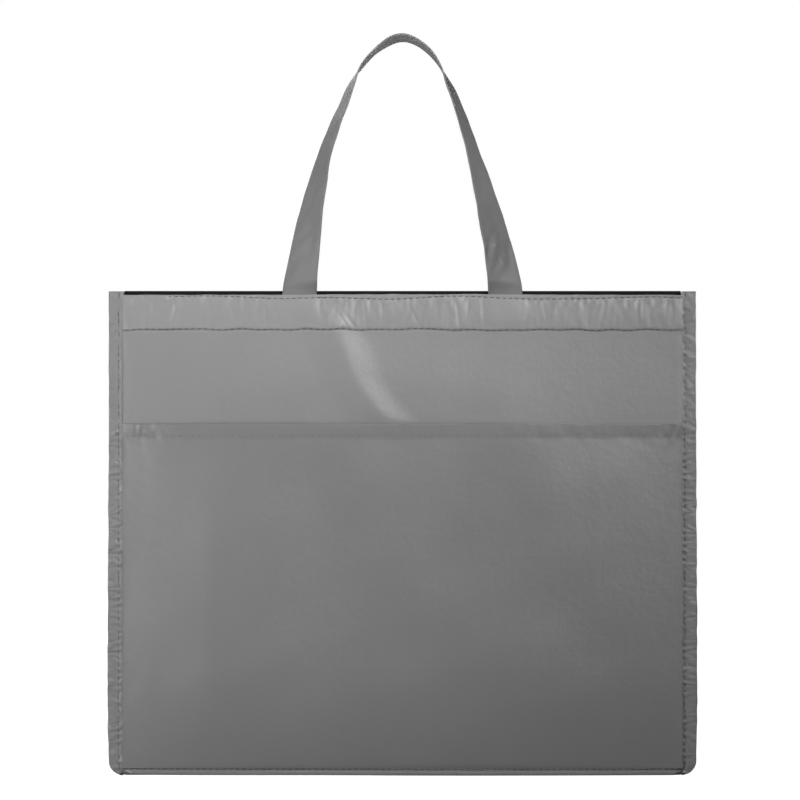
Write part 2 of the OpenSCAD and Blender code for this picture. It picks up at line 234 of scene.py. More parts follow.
def speckle(draw, coords, size, detail=3.0, rough=0.55):
    """Noise from 0 to 1 with features of about that size in metres."""
    return draw.node("ShaderNodeTexNoise", None,
                     {"Vector": coords, "Scale": 1 / size, "Detail": detail, "Roughness": rough})


def relief(draw, height, depth, under=None):
    """A bump of a height from 0 to 1 that is depth metres high, on top of another bump."""
    sockets = {"Height": height, "Distance": depth, "Strength": 1.0}
    if under is not None:
        sockets["Normal"] = under
    return draw.node("ShaderNodeBump", None, sockets)


floor_finish, draw, spots = finish("pale_floor")
tone = speckle(draw, spots, 0.4).mix(grey(0.36), grey(0.40))
matt = draw.node("ShaderNodeBsdfDiffuse", None, {"Color": tone, "Roughness": 0.5})
# The picture shows the floor as bright as the surround, whatever little light falls on it
seen = draw.node("ShaderNodeLightPath", None, None, "Is Camera Ray")
glow = draw.node("ShaderNodeEmission", None, {"Color": grey(1.0), "Strength": seen})
both = draw.node("ShaderNodeAddShader", None, {0: matt, 1: glow})
draw.node("ShaderNodeOutputMaterial", None, {0: both}, output=None)
FLOOR_HALF = 9.0
floor_mesh = bpy.data.meshes.new("floor")
FLOOR_Z = -0.2 * MM
corners = ((-1, -1), (1, -1), (1, 1), (-1, 1))
floor_mesh.from_pydata([(x * FLOOR_HALF, y * FLOOR_HALF, FLOOR_Z) for x, y in corners], [],
                       [(0, 1, 2, 3)])
floor_mesh.materials.append(floor_finish)
floor = put_in("floor", floor_mesh)
floor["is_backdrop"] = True


def soft_box(name, place, aim, size, power, spread=180.0):
    """A square soft light that looks at a place and fades outside its spread."""
    data = bpy.data.lights.new(name, "AREA")
    data.shape = "SQUARE"
    data.size = size
    data.energy = power
    data.spread = math.radians(spread)
    lamp = put_in(name, data)
    lamp.location = place
    lamp.rotation_euler = (Vector(aim) - Vector(place)).to_track_quat("-Z", "Y").to_euler()


soft_box("key_box", (0.72, -1.75, 0.84), (-0.02, -0.1, 0.40), 0.65, 1.14, 28.0)
soft_box("high_box", (-0.26, -0.60, 1.06), (-0.10, -0.1, 0.40), 0.6, 0.25, 64.0)
soft_box("near_left_box", (-0.75, -0.80, 0.18), (-0.19, -0.08, 0.16), 0.4, 0.75, 70.0)
soft_box("far_left_box", (-1.9, -1.3, 0.4), (-0.20, -0.1, 0.1), 1.2, 1.6, 50.0)
soft_box("low_box", (-0.1, -0.70, 0.02), (0.0, -0.08, 0.80), 0.5, 4.8, 60.0)
soft_box("right_side_box", (2.2, 0.7, 1.2), (0.1, 0.0, 0.2), 1.4, 14.0)
soft_box("left_side_box", (-2.2, 0.7, 1.2), (-0.1, 0.0, 0.2), 1.4, 12.0)
soft_box("back_box", (-0.5, 2.0, 1.5), (0.0, 0.0, 0.2), 1.4, 24.0)

world = bpy.data.worlds.new("studio")
bpy.context.scene.world = world
world.use_nodes = True
world.node_tree.nodes.clear()
draw = Shade(world.node_tree)
seen = draw.node("ShaderNodeLightPath", None, None, "Is Camera Ray")
light = draw.node("ShaderNodeBackground", None,
                  {"Color": (1.0, 1.0, 1.0, 1.0), "Strength": 0.03 + seen * 0.97})
draw.node("ShaderNodeOutputWorld", None, {0: light}, output=None)
bpy.context.scene.view_settings.view_transform = "Standard"

# ---- Outer fabric: front, back, base and sides ---------------------------------------------
# Grey non-woven cloth with a satin film laminated on it, cut as separate panels. Foam behind
# rounds it out between the seams, and the edges are sewn flat under the bindings.


def ripples(count, longest, shortest, seed):
    """A smooth random height over a plane, as a function of two lengths in metres."""
    draws = np.random.default_rng(seed)
    turn = draws.uniform(0, 2 * np.pi, count)
    wave = 2 * np.pi / np.exp(draws.uniform(math.log(shortest), math.log(longest), count))
    phase = draws.uniform(0, 2 * np.pi, count)

    def height(a, b):
        total = 0.0
        for i in range(count):
            total = total + np.sin(wave[i] * (a * np.cos(turn[i]) + b * np.sin(turn[i])) + phase[i])
        return total / math.sqrt(count / 2)

    return height


def ramp(value, low, high):
    """0 at low and 1 at high, with soft ends."""
    share = np.clip((value - low) / (high - low), 0, 1)
    return share * share * (3 - 2 * share)


def hump(value, middle, half):
    """1 at the middle, fading to 0 as a bell of that half width."""
    return np.exp(-((value - middle) / half) ** 2)


def skin(name, rings, material):
    """A closed mesh through a row of rings, each a loop whose two halves face each other."""
    rings = np.asarray(rings, float)
    rows, around = rings.shape[:2]
    number = np.arange(rows * around).reshape(rows, around)
    loop = np.concatenate([rings, rings[:, :1]], axis=1)
    lengths = np.linalg.norm(np.diff(loop, axis=1), axis=2).mean(axis=0)
    across = np.concatenate([[0], np.cumsum(lengths)])
    steps = np.linalg.norm(np.diff(rings, axis=0), axis=2).mean(axis=1)
    along = np.concatenate([[0], np.cumsum(steps)])
    i, j = np.meshgrid(np.arange(rows - 1), np.arange(around), indexing="ij")
    k = (j + 1) % around
    quads = np.stack([number[i, j], number[i, k], number[i + 1, k], number[i + 1, j]], -1)
    flat = np.stack([
        np.stack([across[j], along[i]], -1), np.stack([across[j + 1], along[i]], -1),
        np.stack([across[j + 1], along[i + 1]], -1), np.stack([across[j], along[i + 1]], -1),
    ], -2)
    half = around // 2
    j = np.arange(half - 1)
    ends = []
    for row, turn in ((0, 1), (rows - 1, -1)):
        cap = np.stack([number[row, j], number[row, around - 1 - j],
                        number[row, around - 2 - j], number[row, j + 1]], -1)
        ends.append(cap[:, ::turn])
    caps = np.concatenate(ends)
    faces = np.concatenate([quads.reshape(-1, 4), caps])
    mesh = bpy.data.meshes.new(name)
    mesh.from_pydata(rings.reshape(-1, 3).tolist(), [], faces.tolist())
    uv = mesh.uv_layers.new(name="cloth")
    cap_flat = np.stack([across[caps % around], along[caps // around]], -1)
    spread = np.concatenate([flat.reshape(-1, 4, 2), cap_flat.reshape(-1, 4, 2)])
    uv.data.foreach_set("uv", spread.astype(np.float32).ravel())
    volume = 0.0
    points = rings.reshape(-1, 3)
    for tri in (faces[:, [0, 1, 2]], faces[:, [0, 2, 3]]):
        a, b, c = (points[tri[:, n]] for n in range(3))
        volume += float(np.einsum("ij,ij->i", a, np.cross(b, c)).sum())
    if volume < 0:
        mesh.flip_normals()
    mesh.shade_smooth()
    mesh.set_sharp_from_angle(angle=math.radians(50))
    mesh.materials.append(material)
    return put_in(name, mesh)


def cloth(name, us, vs, place, thick, material, outward):
    """A closed sheet over a grid: place() is its outer face, and its back lies behind it."""
    u, v = np.meshgrid(us, vs, indexing="ij")
    face = np.stack(np.broadcast_arrays(*place(u, v)), -1).astype(float)
    normal = np.cross(np.gradient(face, axis=0), np.gradient(face, axis=1))
    normal /= np.maximum(np.linalg.norm(normal, axis=2, keepdims=True), 1e-12)
    if (normal @ np.array(outward, float)).mean() < 0:
        normal = -normal
    back = face - normal * thick
    return skin(name, np.concatenate([face, back[:, ::-1]], axis=1), material)


def laminate(name, tone, film=0.42, depth=1.0):
    """Satin film on non-woven cloth: a fine embossed grid, soft crinkles and cloudy sheen."""
    material, draw, places = finish(name)
    cloth_uv = draw.node("ShaderNodeTexCoord", None, None, "UV")
    cloudy = speckle(draw, places, 50 * MM, 4.0)
    fine = speckle(draw, places, 4 * MM, 5.0, 0.65)
    dots = draw.node("ShaderNodeTexVoronoi", {"voronoi_dimensions": "2D"},
                     {"Vector": cloth_uv, "Scale": 900.0, "Randomness": 0.35})
    pits = dots.fade(0.1, 0.55)
    shade = (cloudy * 0.65 + fine * 0.25 + pits * 0.10).mix(grey(tone * 0.90), grey(tone * 1.09))
    rough = film - 0.06 + cloudy * 0.06 + fine * 0.08
    bump = relief(draw, pits, 0.016 * MM * depth)
    bump = relief(draw, fine, 0.08 * MM * depth, bump)
    bump = relief(draw, speckle(draw, places, 16 * MM), 0.30 * MM * depth, bump)
    surface(draw, shade, rough, bump, {"Specular IOR Level": 0.5, "Sheen Weight": 0.08,
                                       "Sheen Roughness": 0.4})
    return material


outer_fabric = laminate("outer_fabric", 0.205)
side_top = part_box("front_panel")[1].z
band_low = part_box("front_band")[0]
seam_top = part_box("front_base_seam")[1].z
outer_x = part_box("right_top_hem")[0].x
wall_y = -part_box("base_panel")[0].y
BAND_ON_WALL = 26.5 * MM
wall_top = band_low.z + BAND_ON_WALL
SHELL = 0.6 * MM
BEND = 6.0 * MM
TAPE = 0.4 * MM
slow = ripples(9, 0.30, 0.12, 3)
middling = ripples(12, 0.10, 0.04, 4)


def wall_bulge(x, z):
    """How far a front or back wall stands out between its seams."""
    side = 1 - np.clip(np.abs(x) / (outer_x - 3 * MM), 0, 1) ** 4
    held = ramp(z, seam_top, seam_top + 60 * MM) * (1 - ramp(z, band_low.z - 45 * MM, band_low.z))
    return side * held * (1.9 + 0.8 * slow(x, z) + 0.22 * middling(x, z)) * MM


def soft_dent(x, z):
    """The slack diagonal fold high on the front, from under the band to the pocket's edge."""
    down = (band_low.z - z) / (62 * MM)
    line = np.interp(down, [-0.3, 0.04, 0.29, 0.54, 0.86, 1.0], [-42, -36, -29, -24, -10, 1]) * MM
    across = (x - line) * 0.82
    there = ramp(down, -0.36, -0.04) * (1 - 0.6 * ramp(down, 0.85, 1.3))
    # It steps out along the line, then comes back slowly on its lower left
    step = 1 - ramp(across, -12 * MM, 11 * MM)
    back = ramp(across, -30 * MM, -6 * MM)
    hollow = hump(x, 12 * MM, 24 * MM) * hump(z, 254 * MM, 12 * MM)
    return (2.9 * there * step * back + 0.5 * hollow) * MM


EDGE_UNDER = 8.6 * MM
COLUMNS = np.concatenate([
    -outer_x - EDGE_UNDER + np.linspace(0, EDGE_UNDER, 5)[:-1],
    np.linspace(-outer_x, outer_x, 150),
    outer_x + np.linspace(0, EDGE_UNDER, 5)[1:],
])
CORNER_R = 10 * MM


def corner_reach(z):
    """Half width of the bag at a height, with its rounded bottom corners."""
    inside = np.clip(CORNER_R - z, 0, CORNER_R)
    reach = cad_high[0] + 0.4 * MM - CORNER_R + np.sqrt(np.maximum(CORNER_R ** 2 - inside ** 2, 0))
    return np.maximum(reach, outer_x + 0.5 * MM)


def stands_out(x, z, side):
    """How far the front (side -1) or the back (1) stands out from its flat plane."""
    if side < 0:
        return wall_bulge(x, z) + soft_dent(x, z)
    # The back bulges as the front does, but mirrored and a little shifted, so they are no twins
    return wall_bulge(-x, z * 0.93 + 10 * MM)


def under_tape(x, z):
    """Where a panel's edge runs in under the binding: its place across, and its step inwards."""
    step = ramp(np.abs(x), outer_x - 1.4 * MM, outer_x + 0.3 * MM) * (TAPE + 0.02 * MM)
    # The raw edge ends just short of the fold of the tape
    reach = (corner_reach(z) - 0.45 * MM - outer_x) / (EDGE_UNDER + 0.6 * MM)
    past = np.sign(x) * (outer_x + (np.abs(x) - outer_x) * reach)
    return np.where(np.abs(x) > outer_x, past, x), step


def wall_face(side):
    """The outer face of the front or back wall."""

    def place(x, z):
        across, step = under_tape(x, z)
        return across, side * (wall_y + stands_out(x, z, side) - step), z

    return place


def sew_in(piece, node, body="bag"):
    """Lets a sheet of cloth stand for its CAD node: the node is hidden and the sheet hung on its body.
    """
    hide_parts(node)
    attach(piece, body)


WALL_ROWS = np.linspace(BEND, wall_top - 0.9 * MM, 120)
SIDES = (("front", -1), ("back", 1))
for wall, side in SIDES:
    panel = cloth(f"{wall}_panel_cloth", COLUMNS, WALL_ROWS, wall_face(side), SHELL, outer_fabric,
                  (0, side, 0))
    sew_in(panel, f"{wall}_panel")


def u_path(depth, count, top):
    """Side view of the U down the front, under the base and up the back: places and normals."""
    radius = BEND - depth
    arc = np.linspace(0, np.pi / 2, 7)
    rise = np.linspace(top, BEND, count)[:-1]
    run = np.linspace(-(wall_y - BEND), wall_y - BEND, count // 2)[1:-1]
    side = -(wall_y - depth)
    ys = [np.full(len(rise), side), -(wall_y - BEND) - radius * np.cos(arc), run]
    zs = [rise, BEND - radius * np.sin(arc), np.full(len(run), depth)]
    ny = [np.full(len(rise), -1.0), -np.cos(arc), np.zeros(len(run))]
    nz = [np.zeros(len(rise)), -np.sin(arc), np.full(len(run), -1.0)]
    for part, sign in ((ys, -1), (zs, 1), (ny, -1), (nz, 1)):
        part.append(sign * part[1][::-1])
        part.append(sign * part[0][::-1])
    joined = [np.concatenate(part) for part in (ys, zs, ny, nz)]
    apart = np.hypot(np.diff(joined[0]), np.diff(joined[1])) > 1e-6
    return [part[np.concatenate([[True], apart])] for part in joined]


base_y, base_z, base_ny, base_nz = u_path(0.0, 60, BEND + 0.01 * MM)


def base_face(x, row):
    """The outer face of the base, which bends up to the front and the back."""
    i = row.astype(int)
    flat = ramp(wall_y - np.abs(base_y[i]), 4 * MM, 30 * MM)
    across, step = under_tape(x, base_z[i])
    lift = step + 0.35 * MM * flat * (0.5 + 0.5 * slow(x, base_y[i]))
    return across, base_y[i] - base_ny[i] * lift, base_z[i] - base_nz[i] * lift


base_panel = cloth("base_panel_cloth", COLUMNS, np.arange(len(base_y)), base_face,
                   SHELL, outer_fabric, (0, 0, -1))
sew_in(base_panel, "base_panel")

SIDE_IN = 7.0 * MM
SIDE_TURN = 2.2 * MM
web_y = wall_y - 1.0 * MM


def side_dent(y, z):
    """How far a side folds in between its two edges: a soft crease down its middle."""
    tall = ramp(z, 8 * MM, 130 * MM) * (1 - ramp(z, 255 * MM, 326 * MM))
    crease = 0.55 * np.exp(-np.abs(y) / (26 * MM)) + 0.45 * (1 - (y / web_y) ** 2)
    return np.clip(SIDE_IN * tall * crease, 0, None) + 0.25 * MM * middling(y, z) * tall


def side_face(sign):
    """The outer face of a side, with edges turned out along the wall into the bound seam."""

    def place(across, z):
        flat = np.clip(across, -web_y + SIDE_TURN, web_y - SIDE_TURN)
        past = np.abs(across) - (web_y - SIDE_TURN)
        bend = np.clip(past / (SIDE_TURN * np.pi / 2), 0, 1) * np.pi / 2
        out = np.clip(past - SIDE_TURN * np.pi / 2, 0, 8.4 * MM)
        x = outer_x + np.where(past > 0, SIDE_TURN * (1 - np.cos(bend)) + out, 0)
        y = flat + np.sign(across) * np.where(past > 0, SIDE_TURN * np.sin(bend), 0)
        x = np.minimum(x, corner_reach(z) - 0.5 * MM)
        return sign * (x - side_dent(flat, z) * (past <= 0)), y, z

    return place


flange_run = SIDE_TURN * (np.pi / 2) + 5.8 * MM - SIDE_TURN
side_columns = np.concatenate([
    np.linspace(-web_y - flange_run, -web_y + SIDE_TURN, 12)[:-1],
    np.linspace(-web_y + SIDE_TURN, web_y - SIDE_TURN, 70),
    np.linspace(web_y - SIDE_TURN, web_y + flange_run, 12)[1:],
])
side_rows = np.linspace(1.6 * MM, wall_top, 120)
EDGES = (("left", -1), ("right", 1))
for side_name, sign in EDGES:
    gusset = cloth(f"{side_name}_gusset_cloth", side_columns, side_rows, side_face(sign),
                   SHELL, outer_fabric, (sign, 0, 0))
    sew_in(gusset, f"{side_name}_gusset")

# ---- Bindings ------------------------------------------------------------------------------
# A strip of the same laminated cloth, folded round the raw edges of each side's seam and sewn
# through. It puckers along its stitches and buckles where the seam was eased round a bend.
binding_tape = laminate("binding_tape", 0.185, 0.42)
BINDING = 9.0 * MM
SEAM = 2.0 * MM
crumple = ripples(26, 0.022, 0.005, 11)
fine_crumple = ripples(30, 0.008, 0.003, 12)
tape_y, tape_z, tape_ny, tape_nz = u_path(0.0, 420, side_top)
tape_s = np.concatenate([[0], np.cumsum(np.hypot(np.diff(tape_y), np.diff(tape_z)))])
STITCH_IN = {"left": 2.6 * MM, "right": 1.7 * MM}
STITCH = 4.6 * MM
# Where the photograph shows a notch or a buckle in each edge, as distances down from the top
BUCKLES = {
    "left": [(23, 3.0), (160, 2.5), (268, 2.5), (302, 2.2)],
    "right": [(30, 2.0), (93, 3.5), (103, 2.0), (150, 2.0), (262, 3.0), (308, 2.5)],
}


def at_stitch(along, pitch=STITCH):
    """1 where a stitch goes through the cloth and 0 halfway to the next."""
    return 0.5 + 0.5 * np.cos(2 * np.pi * along / pitch)


def tape_section(side_name, s):
    """The folded tape's section at a distance along it: lateral place and depth of each point."""
    stitch_at = STITCH_IN[side_name]
    top = np.array([0.0, 0.9, 1.8, 2.7, 3.6, 4.6, 5.8, 7.0, 8.0, 8.7]) * MM
    seed = {"left": 0.0, "right": 0.37}[side_name]
    lift = 0.13 * crumple(top + seed, s) + 0.12 * fine_crumple(top - seed, s * 1.3)
    pull = hump(top, stitch_at, 0.95 * MM)
    gathered = 0.15 + 0.85 * float(ramp(np.array(s), 82 * MM, 100 * MM))
    bent = 2 * np.pi * (s + (top - stitch_at) * 0.5 * crumple(seed, s)) / STITCH
    lift = lift - 0.34 * gathered * np.cos(bent) * (0.7 + 0.5 * crumple(top * 0.5 + 5 + seed, s))
    sunk = pull * (0.30 + 0.16 * at_stitch(s) + 0.10 * crumple(0.2, s))
    for place, strength in BUCKLES[side_name]:
        sunk_fold = hump(s - place * MM, (top - 4 * MM) * 0.5, 1.3 * MM)
        raised_fold = hump(s - place * MM - 3 * MM, (top - 4 * MM) * 0.4, 1.6 * MM)
        lift = lift + strength * (0.11 * raised_fold - 0.15 * sunk_fold)
    outer = np.minimum(-(0.16 + lift * 0.75 - sunk) * MM, 0.26 * MM)
    lower = SEAM + (0.16 + 0.15 * crumple(top + 1 + seed, s) - sunk) * MM
    lower = np.maximum(lower, SEAM - 0.10 * MM)
    edge = np.array([8.95, 9.15, 8.95]) * MM + 0.10 * MM * crumple(seed + 3, s * 0.5)
    # Round the outside of the fold, then back along its inside with as many points
    inner_edge = np.array([8.45, *[8.6] * 5, 8.45]) * MM
    inner_deep = np.array([0.46] * 9 + [1.12, 1.12, 1.10, 1.06, 1.0] + [1.64] * 9) * MM
    across = [top, edge, top[::-1], top[:-2], inner_edge[::-1], top[:-2][::-1]]
    deep = [outer, np.array([0.35, 1.0, 1.65]) * MM, lower[::-1], inner_deep[::-1]]
    return np.concatenate(across), np.concatenate(deep)


def binding_rings(side_name, sign):
    """Rings of the folded tape all the way down the front, under the base and up the back."""
    bow = 0.9 * MM * ramp(tape_s, 60 * MM, 260 * MM)
    rings = []
    for i in range(len(tape_s)):
        across, deep = tape_section(side_name, tape_s[i])
        y = tape_y[i] - tape_ny[i] * deep
        z = tape_z[i] - tape_nz[i] * deep
        swell = bow[i] * ramp(tape_z[i], 6 * MM, 45 * MM) if tape_y[i] < 0 else 0.0
        reach = (corner_reach(np.clip(z, 0, None)) - outer_x) / BINDING
        wide = 0.8 * MM * ramp(tape_z[i], side_top - 12 * MM, side_top - 5 * MM)
        share = across / BINDING
        x = outer_x + across * reach + swell * share ** 2 - wide * (1 - share)
        rings.append(np.stack([sign * x, y, z], -1))
    return rings


for side_name, sign in EDGES:
    binding = skin(f"{side_name}_binding_tape", binding_rings(side_name, sign), binding_tape)
    sew_in(binding, f"{side_name}_binding")


def thread_material_with_painted_shadow():
    """Dark grey sewing thread with a fine twist; its dark tone partly paints the shadow of the needle
    holes along each row.
    """
    material, draw, places = finish("thread")
    twist = draw.node("ShaderNodeTexWave", {"bands_direction": "DIAGONAL"},
                      {"Vector": places, "Scale": 1400.0, "Distortion": 0.4})
    # The thread's dark tone is partly painted shadow of the needle holes, besides the thread's own
    # grey.
    surface(draw, twist.mix(grey(0.045), grey(0.085)), 0.62 + twist * 0.1,
            relief(draw, twist, 0.04 * MM))
    return material


def open_tree(name, sizes):
    """A new geometry tree that takes a line and these sizes: its sheet, and a socket for each."""
    tree = bpy.data.node_groups.new(name, "GeometryNodeTree")
    tree.interface.new_socket("Geometry", in_out="INPUT", socket_type="NodeSocketGeometry")
    for size, value in sizes.items():
        socket = tree.interface.new_socket(size, in_out="INPUT", socket_type="NodeSocketFloat")
        socket.default_value = value
    tree.interface.new_socket("Geometry", in_out="OUTPUT", socket_type="NodeSocketGeometry")
    given = tree.nodes.new("NodeGroupInput").outputs
    return Shade(tree), {name: Shade(tree, given[name]) for name in ("Geometry", *sizes)}


def close_tree(draw, shape, material):
    """Ends a geometry tree: every instance made real, all in one material."""
    real = draw.node("GeometryNodeRealizeInstances", None, {"Geometry": shape})
    dyed = draw.node("GeometryNodeSetMaterial", None, {"Geometry": real, "Material": material})
    draw.node("NodeGroupOutput", None, {"Geometry": dyed}, output=None)
    return draw.tree


def stitch_tree(thread):
    """Geometry nodes that lay a stitch of thread at each pitch along a line."""
    draw, given = open_tree("stitch_row", {"Pitch": STITCH, "Length": 3.3 * MM, "Thread": 0.42 * MM})
    line = draw.node("GeometryNodeMeshToCurve", None, {"Mesh": given["Geometry"]})
    spaced = draw.node("GeometryNodeResampleCurve", {"mode": "LENGTH"},
                       {"Curve": line, "Length": given["Pitch"]})
    stitch = draw.node("GeometryNodeMeshUVSphere", None, {"Segments": 6, "Rings": 5, "Radius": 0.5})
    along = draw.node("GeometryNodeInputTangent")
    turned = draw.node("FunctionNodeAlignRotationToVector", {"axis": "X"}, {"Vector": along})
    vary = draw.node("FunctionNodeRandomValue", {"data_type": "FLOAT"},
                     {"Min": 0.88, "Max": 1.08, "Seed": 5}, "Value")
    size = draw.node("ShaderNodeCombineXYZ", None,
                     {"X": given["Length"] * vary, "Y": given["Thread"], "Z": given["Thread"]})
    row = draw.node("GeometryNodeInstanceOnPoints", None,
                    {"Points": spaced, "Instance": stitch, "Rotation": turned, "Scale": size})
    return close_tree(draw, row, thread)


def plain_mesh(name, edges_of, tree, values, body):
    """Runs a node tree on some lines, keeps the result as one plain mesh and hangs it on a body."""
    carrier_mesh = bpy.data.meshes.new(f"{name}_lines")
    points, edges = [], []
    for line in edges_of:
        edges += [(len(points) + i, len(points) + i + 1) for i in range(len(line) - 1)]
        points += [tuple(place) for place in line]
    carrier_mesh.from_pydata(points, edges, [])
    carrier = put_in(f"{name}_lines", carrier_mesh)
    rule = carrier.modifiers.new("rule", "NODES")
    rule.node_group = tree
    for item in tree.interface.items_tree:
        if item.in_out == "INPUT" and item.name in values:
            rule[item.identifier] = values[item.name]
    ready = carrier.evaluated_get(bpy.context.evaluated_depsgraph_get())
    mesh = bpy.data.meshes.new_from_object(ready)
    mesh.name = name
    mesh.shade_smooth()
    carrier.modifiers.remove(rule)
    bpy.data.objects.remove(carrier)
    made = put_in(name, mesh)
    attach(made, body)
    return made


thread = thread_material_with_painted_shadow()
stitch_rows = stitch_tree(thread)


def sew(name, lines, body="bag", length=3.3 * MM, width=0.42 * MM, pitch=STITCH):
    """A row or rows of stitches as one piece."""
    return plain_mesh(name, lines, stitch_rows,
                      {"Pitch": pitch, "Length": length, "Thread": width}, body)


THREAD_SUNK = 0.14 * MM
binding_lines = []
for side_name, sign in EDGES:
    stitch_at = STITCH_IN[side_name]
    for d in (THREAD_SUNK, SEAM - THREAD_SUNK):
        line = []
        for i in range(3, len(tape_s) - 3, 2):
            y, z = tape_y[i] - tape_ny[i] * d, tape_z[i] - tape_nz[i] * d
            reach = (corner_reach(max(z, 0)) - outer_x) / BINDING
            wander = 0.18 * MM * math.sin(tape_s[i] * 210 + sign)
            line.append((sign * (outer_x + (stitch_at + wander) * reach), y, z))
        binding_lines.append(line)
sew("binding_stitches", binding_lines, width=0.50 * MM, length=4.0 * MM)
for (side_name, _), line in zip(EDGES, binding_lines[::2]):
    point = f"{side_name}_binding_stitches"
    aim = spot_on(IMAGE_XY[point], bpy.data.objects[f"{side_name}_binding_tape"])
    in_front = [place for place in line if place[1] < -wall_y + 1 * MM]
    min(in_front, key=lambda place: abs(place[2] - aim.z))

# ---- Base seams ----------------------------------------------------------------------------
# Along the front and back of the base the cloth is pinched into a low ridge and topstitched,
# which gives the bag its crisp bottom edge.
def base_line(x):
    """Height of the ridge's lower edge, which sags between the corners."""
    return (0.06 + 0.72 * min(((x / MM - 55) / 240) ** 2, 1.0) + 0.08 * float(slow(x, 0))) * MM


def ridge_rings(sign):
    """Rounded pinched ridge of one base edge."""
    section = [(0.0, 0.3), (0.5, 0.08), (0.95, 0.0), (1.3, 0.25), (1.52, 0.8), (1.62, 1.5), (1.6, 2.2),
               (1.5, 2.8), (1.2, 3.3), (0.62, 3.8), (0.34, 4.4), (0.34, 5.6), (0.3, 6.7), (0.0, 6.8)]
    rings = []
    for x in np.linspace(-outer_x + 1.4 * MM, outer_x - 1.4 * MM, 260):
        end = 0.15 + 0.85 * ramp(outer_x - abs(x), 1.6 * MM, 6.5 * MM)
        lump = end * (1 + 0.10 * crumple(x, sign * 0.3))
        ring = []
        for out, up in section:
            sunk = 0.16 * at_stitch(x) * hump(up, 3.5, 0.5)
            ring.append((x, sign * (wall_y + (out * lump - sunk) * MM),
                         base_line(x) + (up + (1 - end) * (4.2 - up) * 0.6) * MM))
        ring += [(x, sign * (wall_y - 0.03 * MM), z) for _, _, z in ring[::-1]]
        rings.append(ring)
    return rings


for wall, sign in SIDES:
    ridge = skin(f"{wall}_base_ridge", ridge_rings(sign), binding_tape)
    sew_in(ridge, f"{wall}_base_seam")
base_lines = [
    [(x, sign * (wall_y + 0.66 * MM), base_line(x) + 4.15 * MM)
     for x in np.linspace(-outer_x + 2 * MM, outer_x - 2 * MM, 200)]
    for sign in (-1, 1)
]
sew("base_stitches", base_lines, length=4.3 * MM, width=0.6 * MM)
[place for place in base_lines[0] if abs(place[0]) < 3 * MM]

# ---- Foam and foil inside the walls --------------------------------------------------------
# White closed-cell foam lines every wall and the base. A thin aluminised film over it faces
# the contents, creased all over from handling, and its edges are caught in the seams.
foam_white, draw, places = finish("foam")
cells = draw.node("ShaderNodeTexVoronoi", None, {"Vector": places, "Scale": 900.0})
tone = cells.mix(grey(0.80, 0.02), grey(0.62, 0.02))
surface(draw, tone, 0.75 + cells * 0.1, relief(draw, cells, 0.12 * MM))

foil, draw, places = finish("foil_lining")
warped = draw.node("ShaderNodeTexVoronoi", {"feature": "DISTANCE_TO_EDGE"},
                   {"Vector": places, "Scale": 95.0})
creases = warped.fade(0.0, 0.22)
cloudy = speckle(draw, places, 30 * MM, 5.0, 0.6)
small = speckle(draw, places, 6 * MM, 4.0, 0.6)
bump = relief(draw, creases * 0.5 + cloudy * 0.5, 1.2 * MM)
bump = relief(draw, small, 0.5 * MM, bump)
surface(draw, (cloudy * 0.6 + small * 0.4).mix(grey(0.55), grey(0.74)), 0.22 + small * 0.16, bump,
        {"Metallic": 0.92})

LAYERS = {"foam": (SHELL, 3.0 * MM, foam_white), "lining": (SHELL + 3.02 * MM, 0.38 * MM, foil)}
foil_lift = ripples(24, 0.045, 0.012, 31)
side_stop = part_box("right_lining")[1].z


def pad_with_foam(piece, node, body="bag"):
    """Lets a sheet of foam stand for its CAD node."""
    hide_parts(node)
    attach(piece, body)


def crinkled(along, up, half, deep):
    """How far the foil's creases lift it off the foam, fading out at its sewn edges."""
    free = 1 - ramp(np.abs(along), half - 8 * MM, half)
    return deep * np.maximum(1 + foil_lift(along, up), 0.1) * free


def lay_in(wall, layer, us, vs, place, outward):
    """Lays one layer in behind a wall, or on the base."""
    _, thick, material = LAYERS[layer]
    sheet = cloth(f"{wall}_{layer}_sheet", us, vs, place, thick, material, outward)
    if layer == "foam":
        pad_with_foam(sheet, f"{wall}_foam")
    else:
        sew_in(sheet, f"{wall}_lining")


for layer, (depth, _, _) in LAYERS.items():
    gap = depth + 0.03 * MM
    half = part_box(f"front_{layer}")[1].x
    for wall, side in SIDES:

        def inner_face(x, z):
            """The layer's outer face, just inside the wall's cloth."""
            y = wall_face(side)(np.clip(x, -half, half) * 0.985, z)[1] - side * gap
            return x, y - side * crinkled(x, z, half, 0.35 * MM * (layer == "lining")), z

        lay_in(wall, layer, np.linspace(-half, half, 130),
               np.linspace(BEND + 0.05 * MM, wall_top - 0.8 * MM, 100), inner_face,
               (0, side, 0))
    for side_name, sign in EDGES:
        half_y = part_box(f"{side_name}_{layer}")[1].y

        def side_layer(y, z):
            """The layer's outer face, just inside the side's cloth, rounded off at its foot."""
            x = outer_x - gap - side_dent(y, z)
            x = x - crinkled(y, z, half_y, 0.3 * MM * (layer == "lining"))
            corner = np.clip(6 * MM - z, 0, 2.0 * MM)
            return sign * x, np.sign(y) * np.minimum(np.abs(y), half_y - corner), z

        lay_in(side_name, layer, np.linspace(-half_y, half_y, 60),
               np.linspace(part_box(f"{side_name}_{layer}")[0].z, side_stop, 90), side_layer,
               (sign, 0, 0))
    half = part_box(f"base_{layer}")[1].x
    layer_y, layer_z = u_path(depth, 60, BEND + 0.01 * MM)[:2]

    def floor_layer(x, row):
        """The base's inner layers, flat under the board."""
        i = row.astype(int)
        return x, layer_y[i], layer_z[i] + 0 * x

    lay_in("base", layer, np.linspace(-half, half, 90), np.arange(len(layer_y)), floor_layer,
           (0, 0, -1))

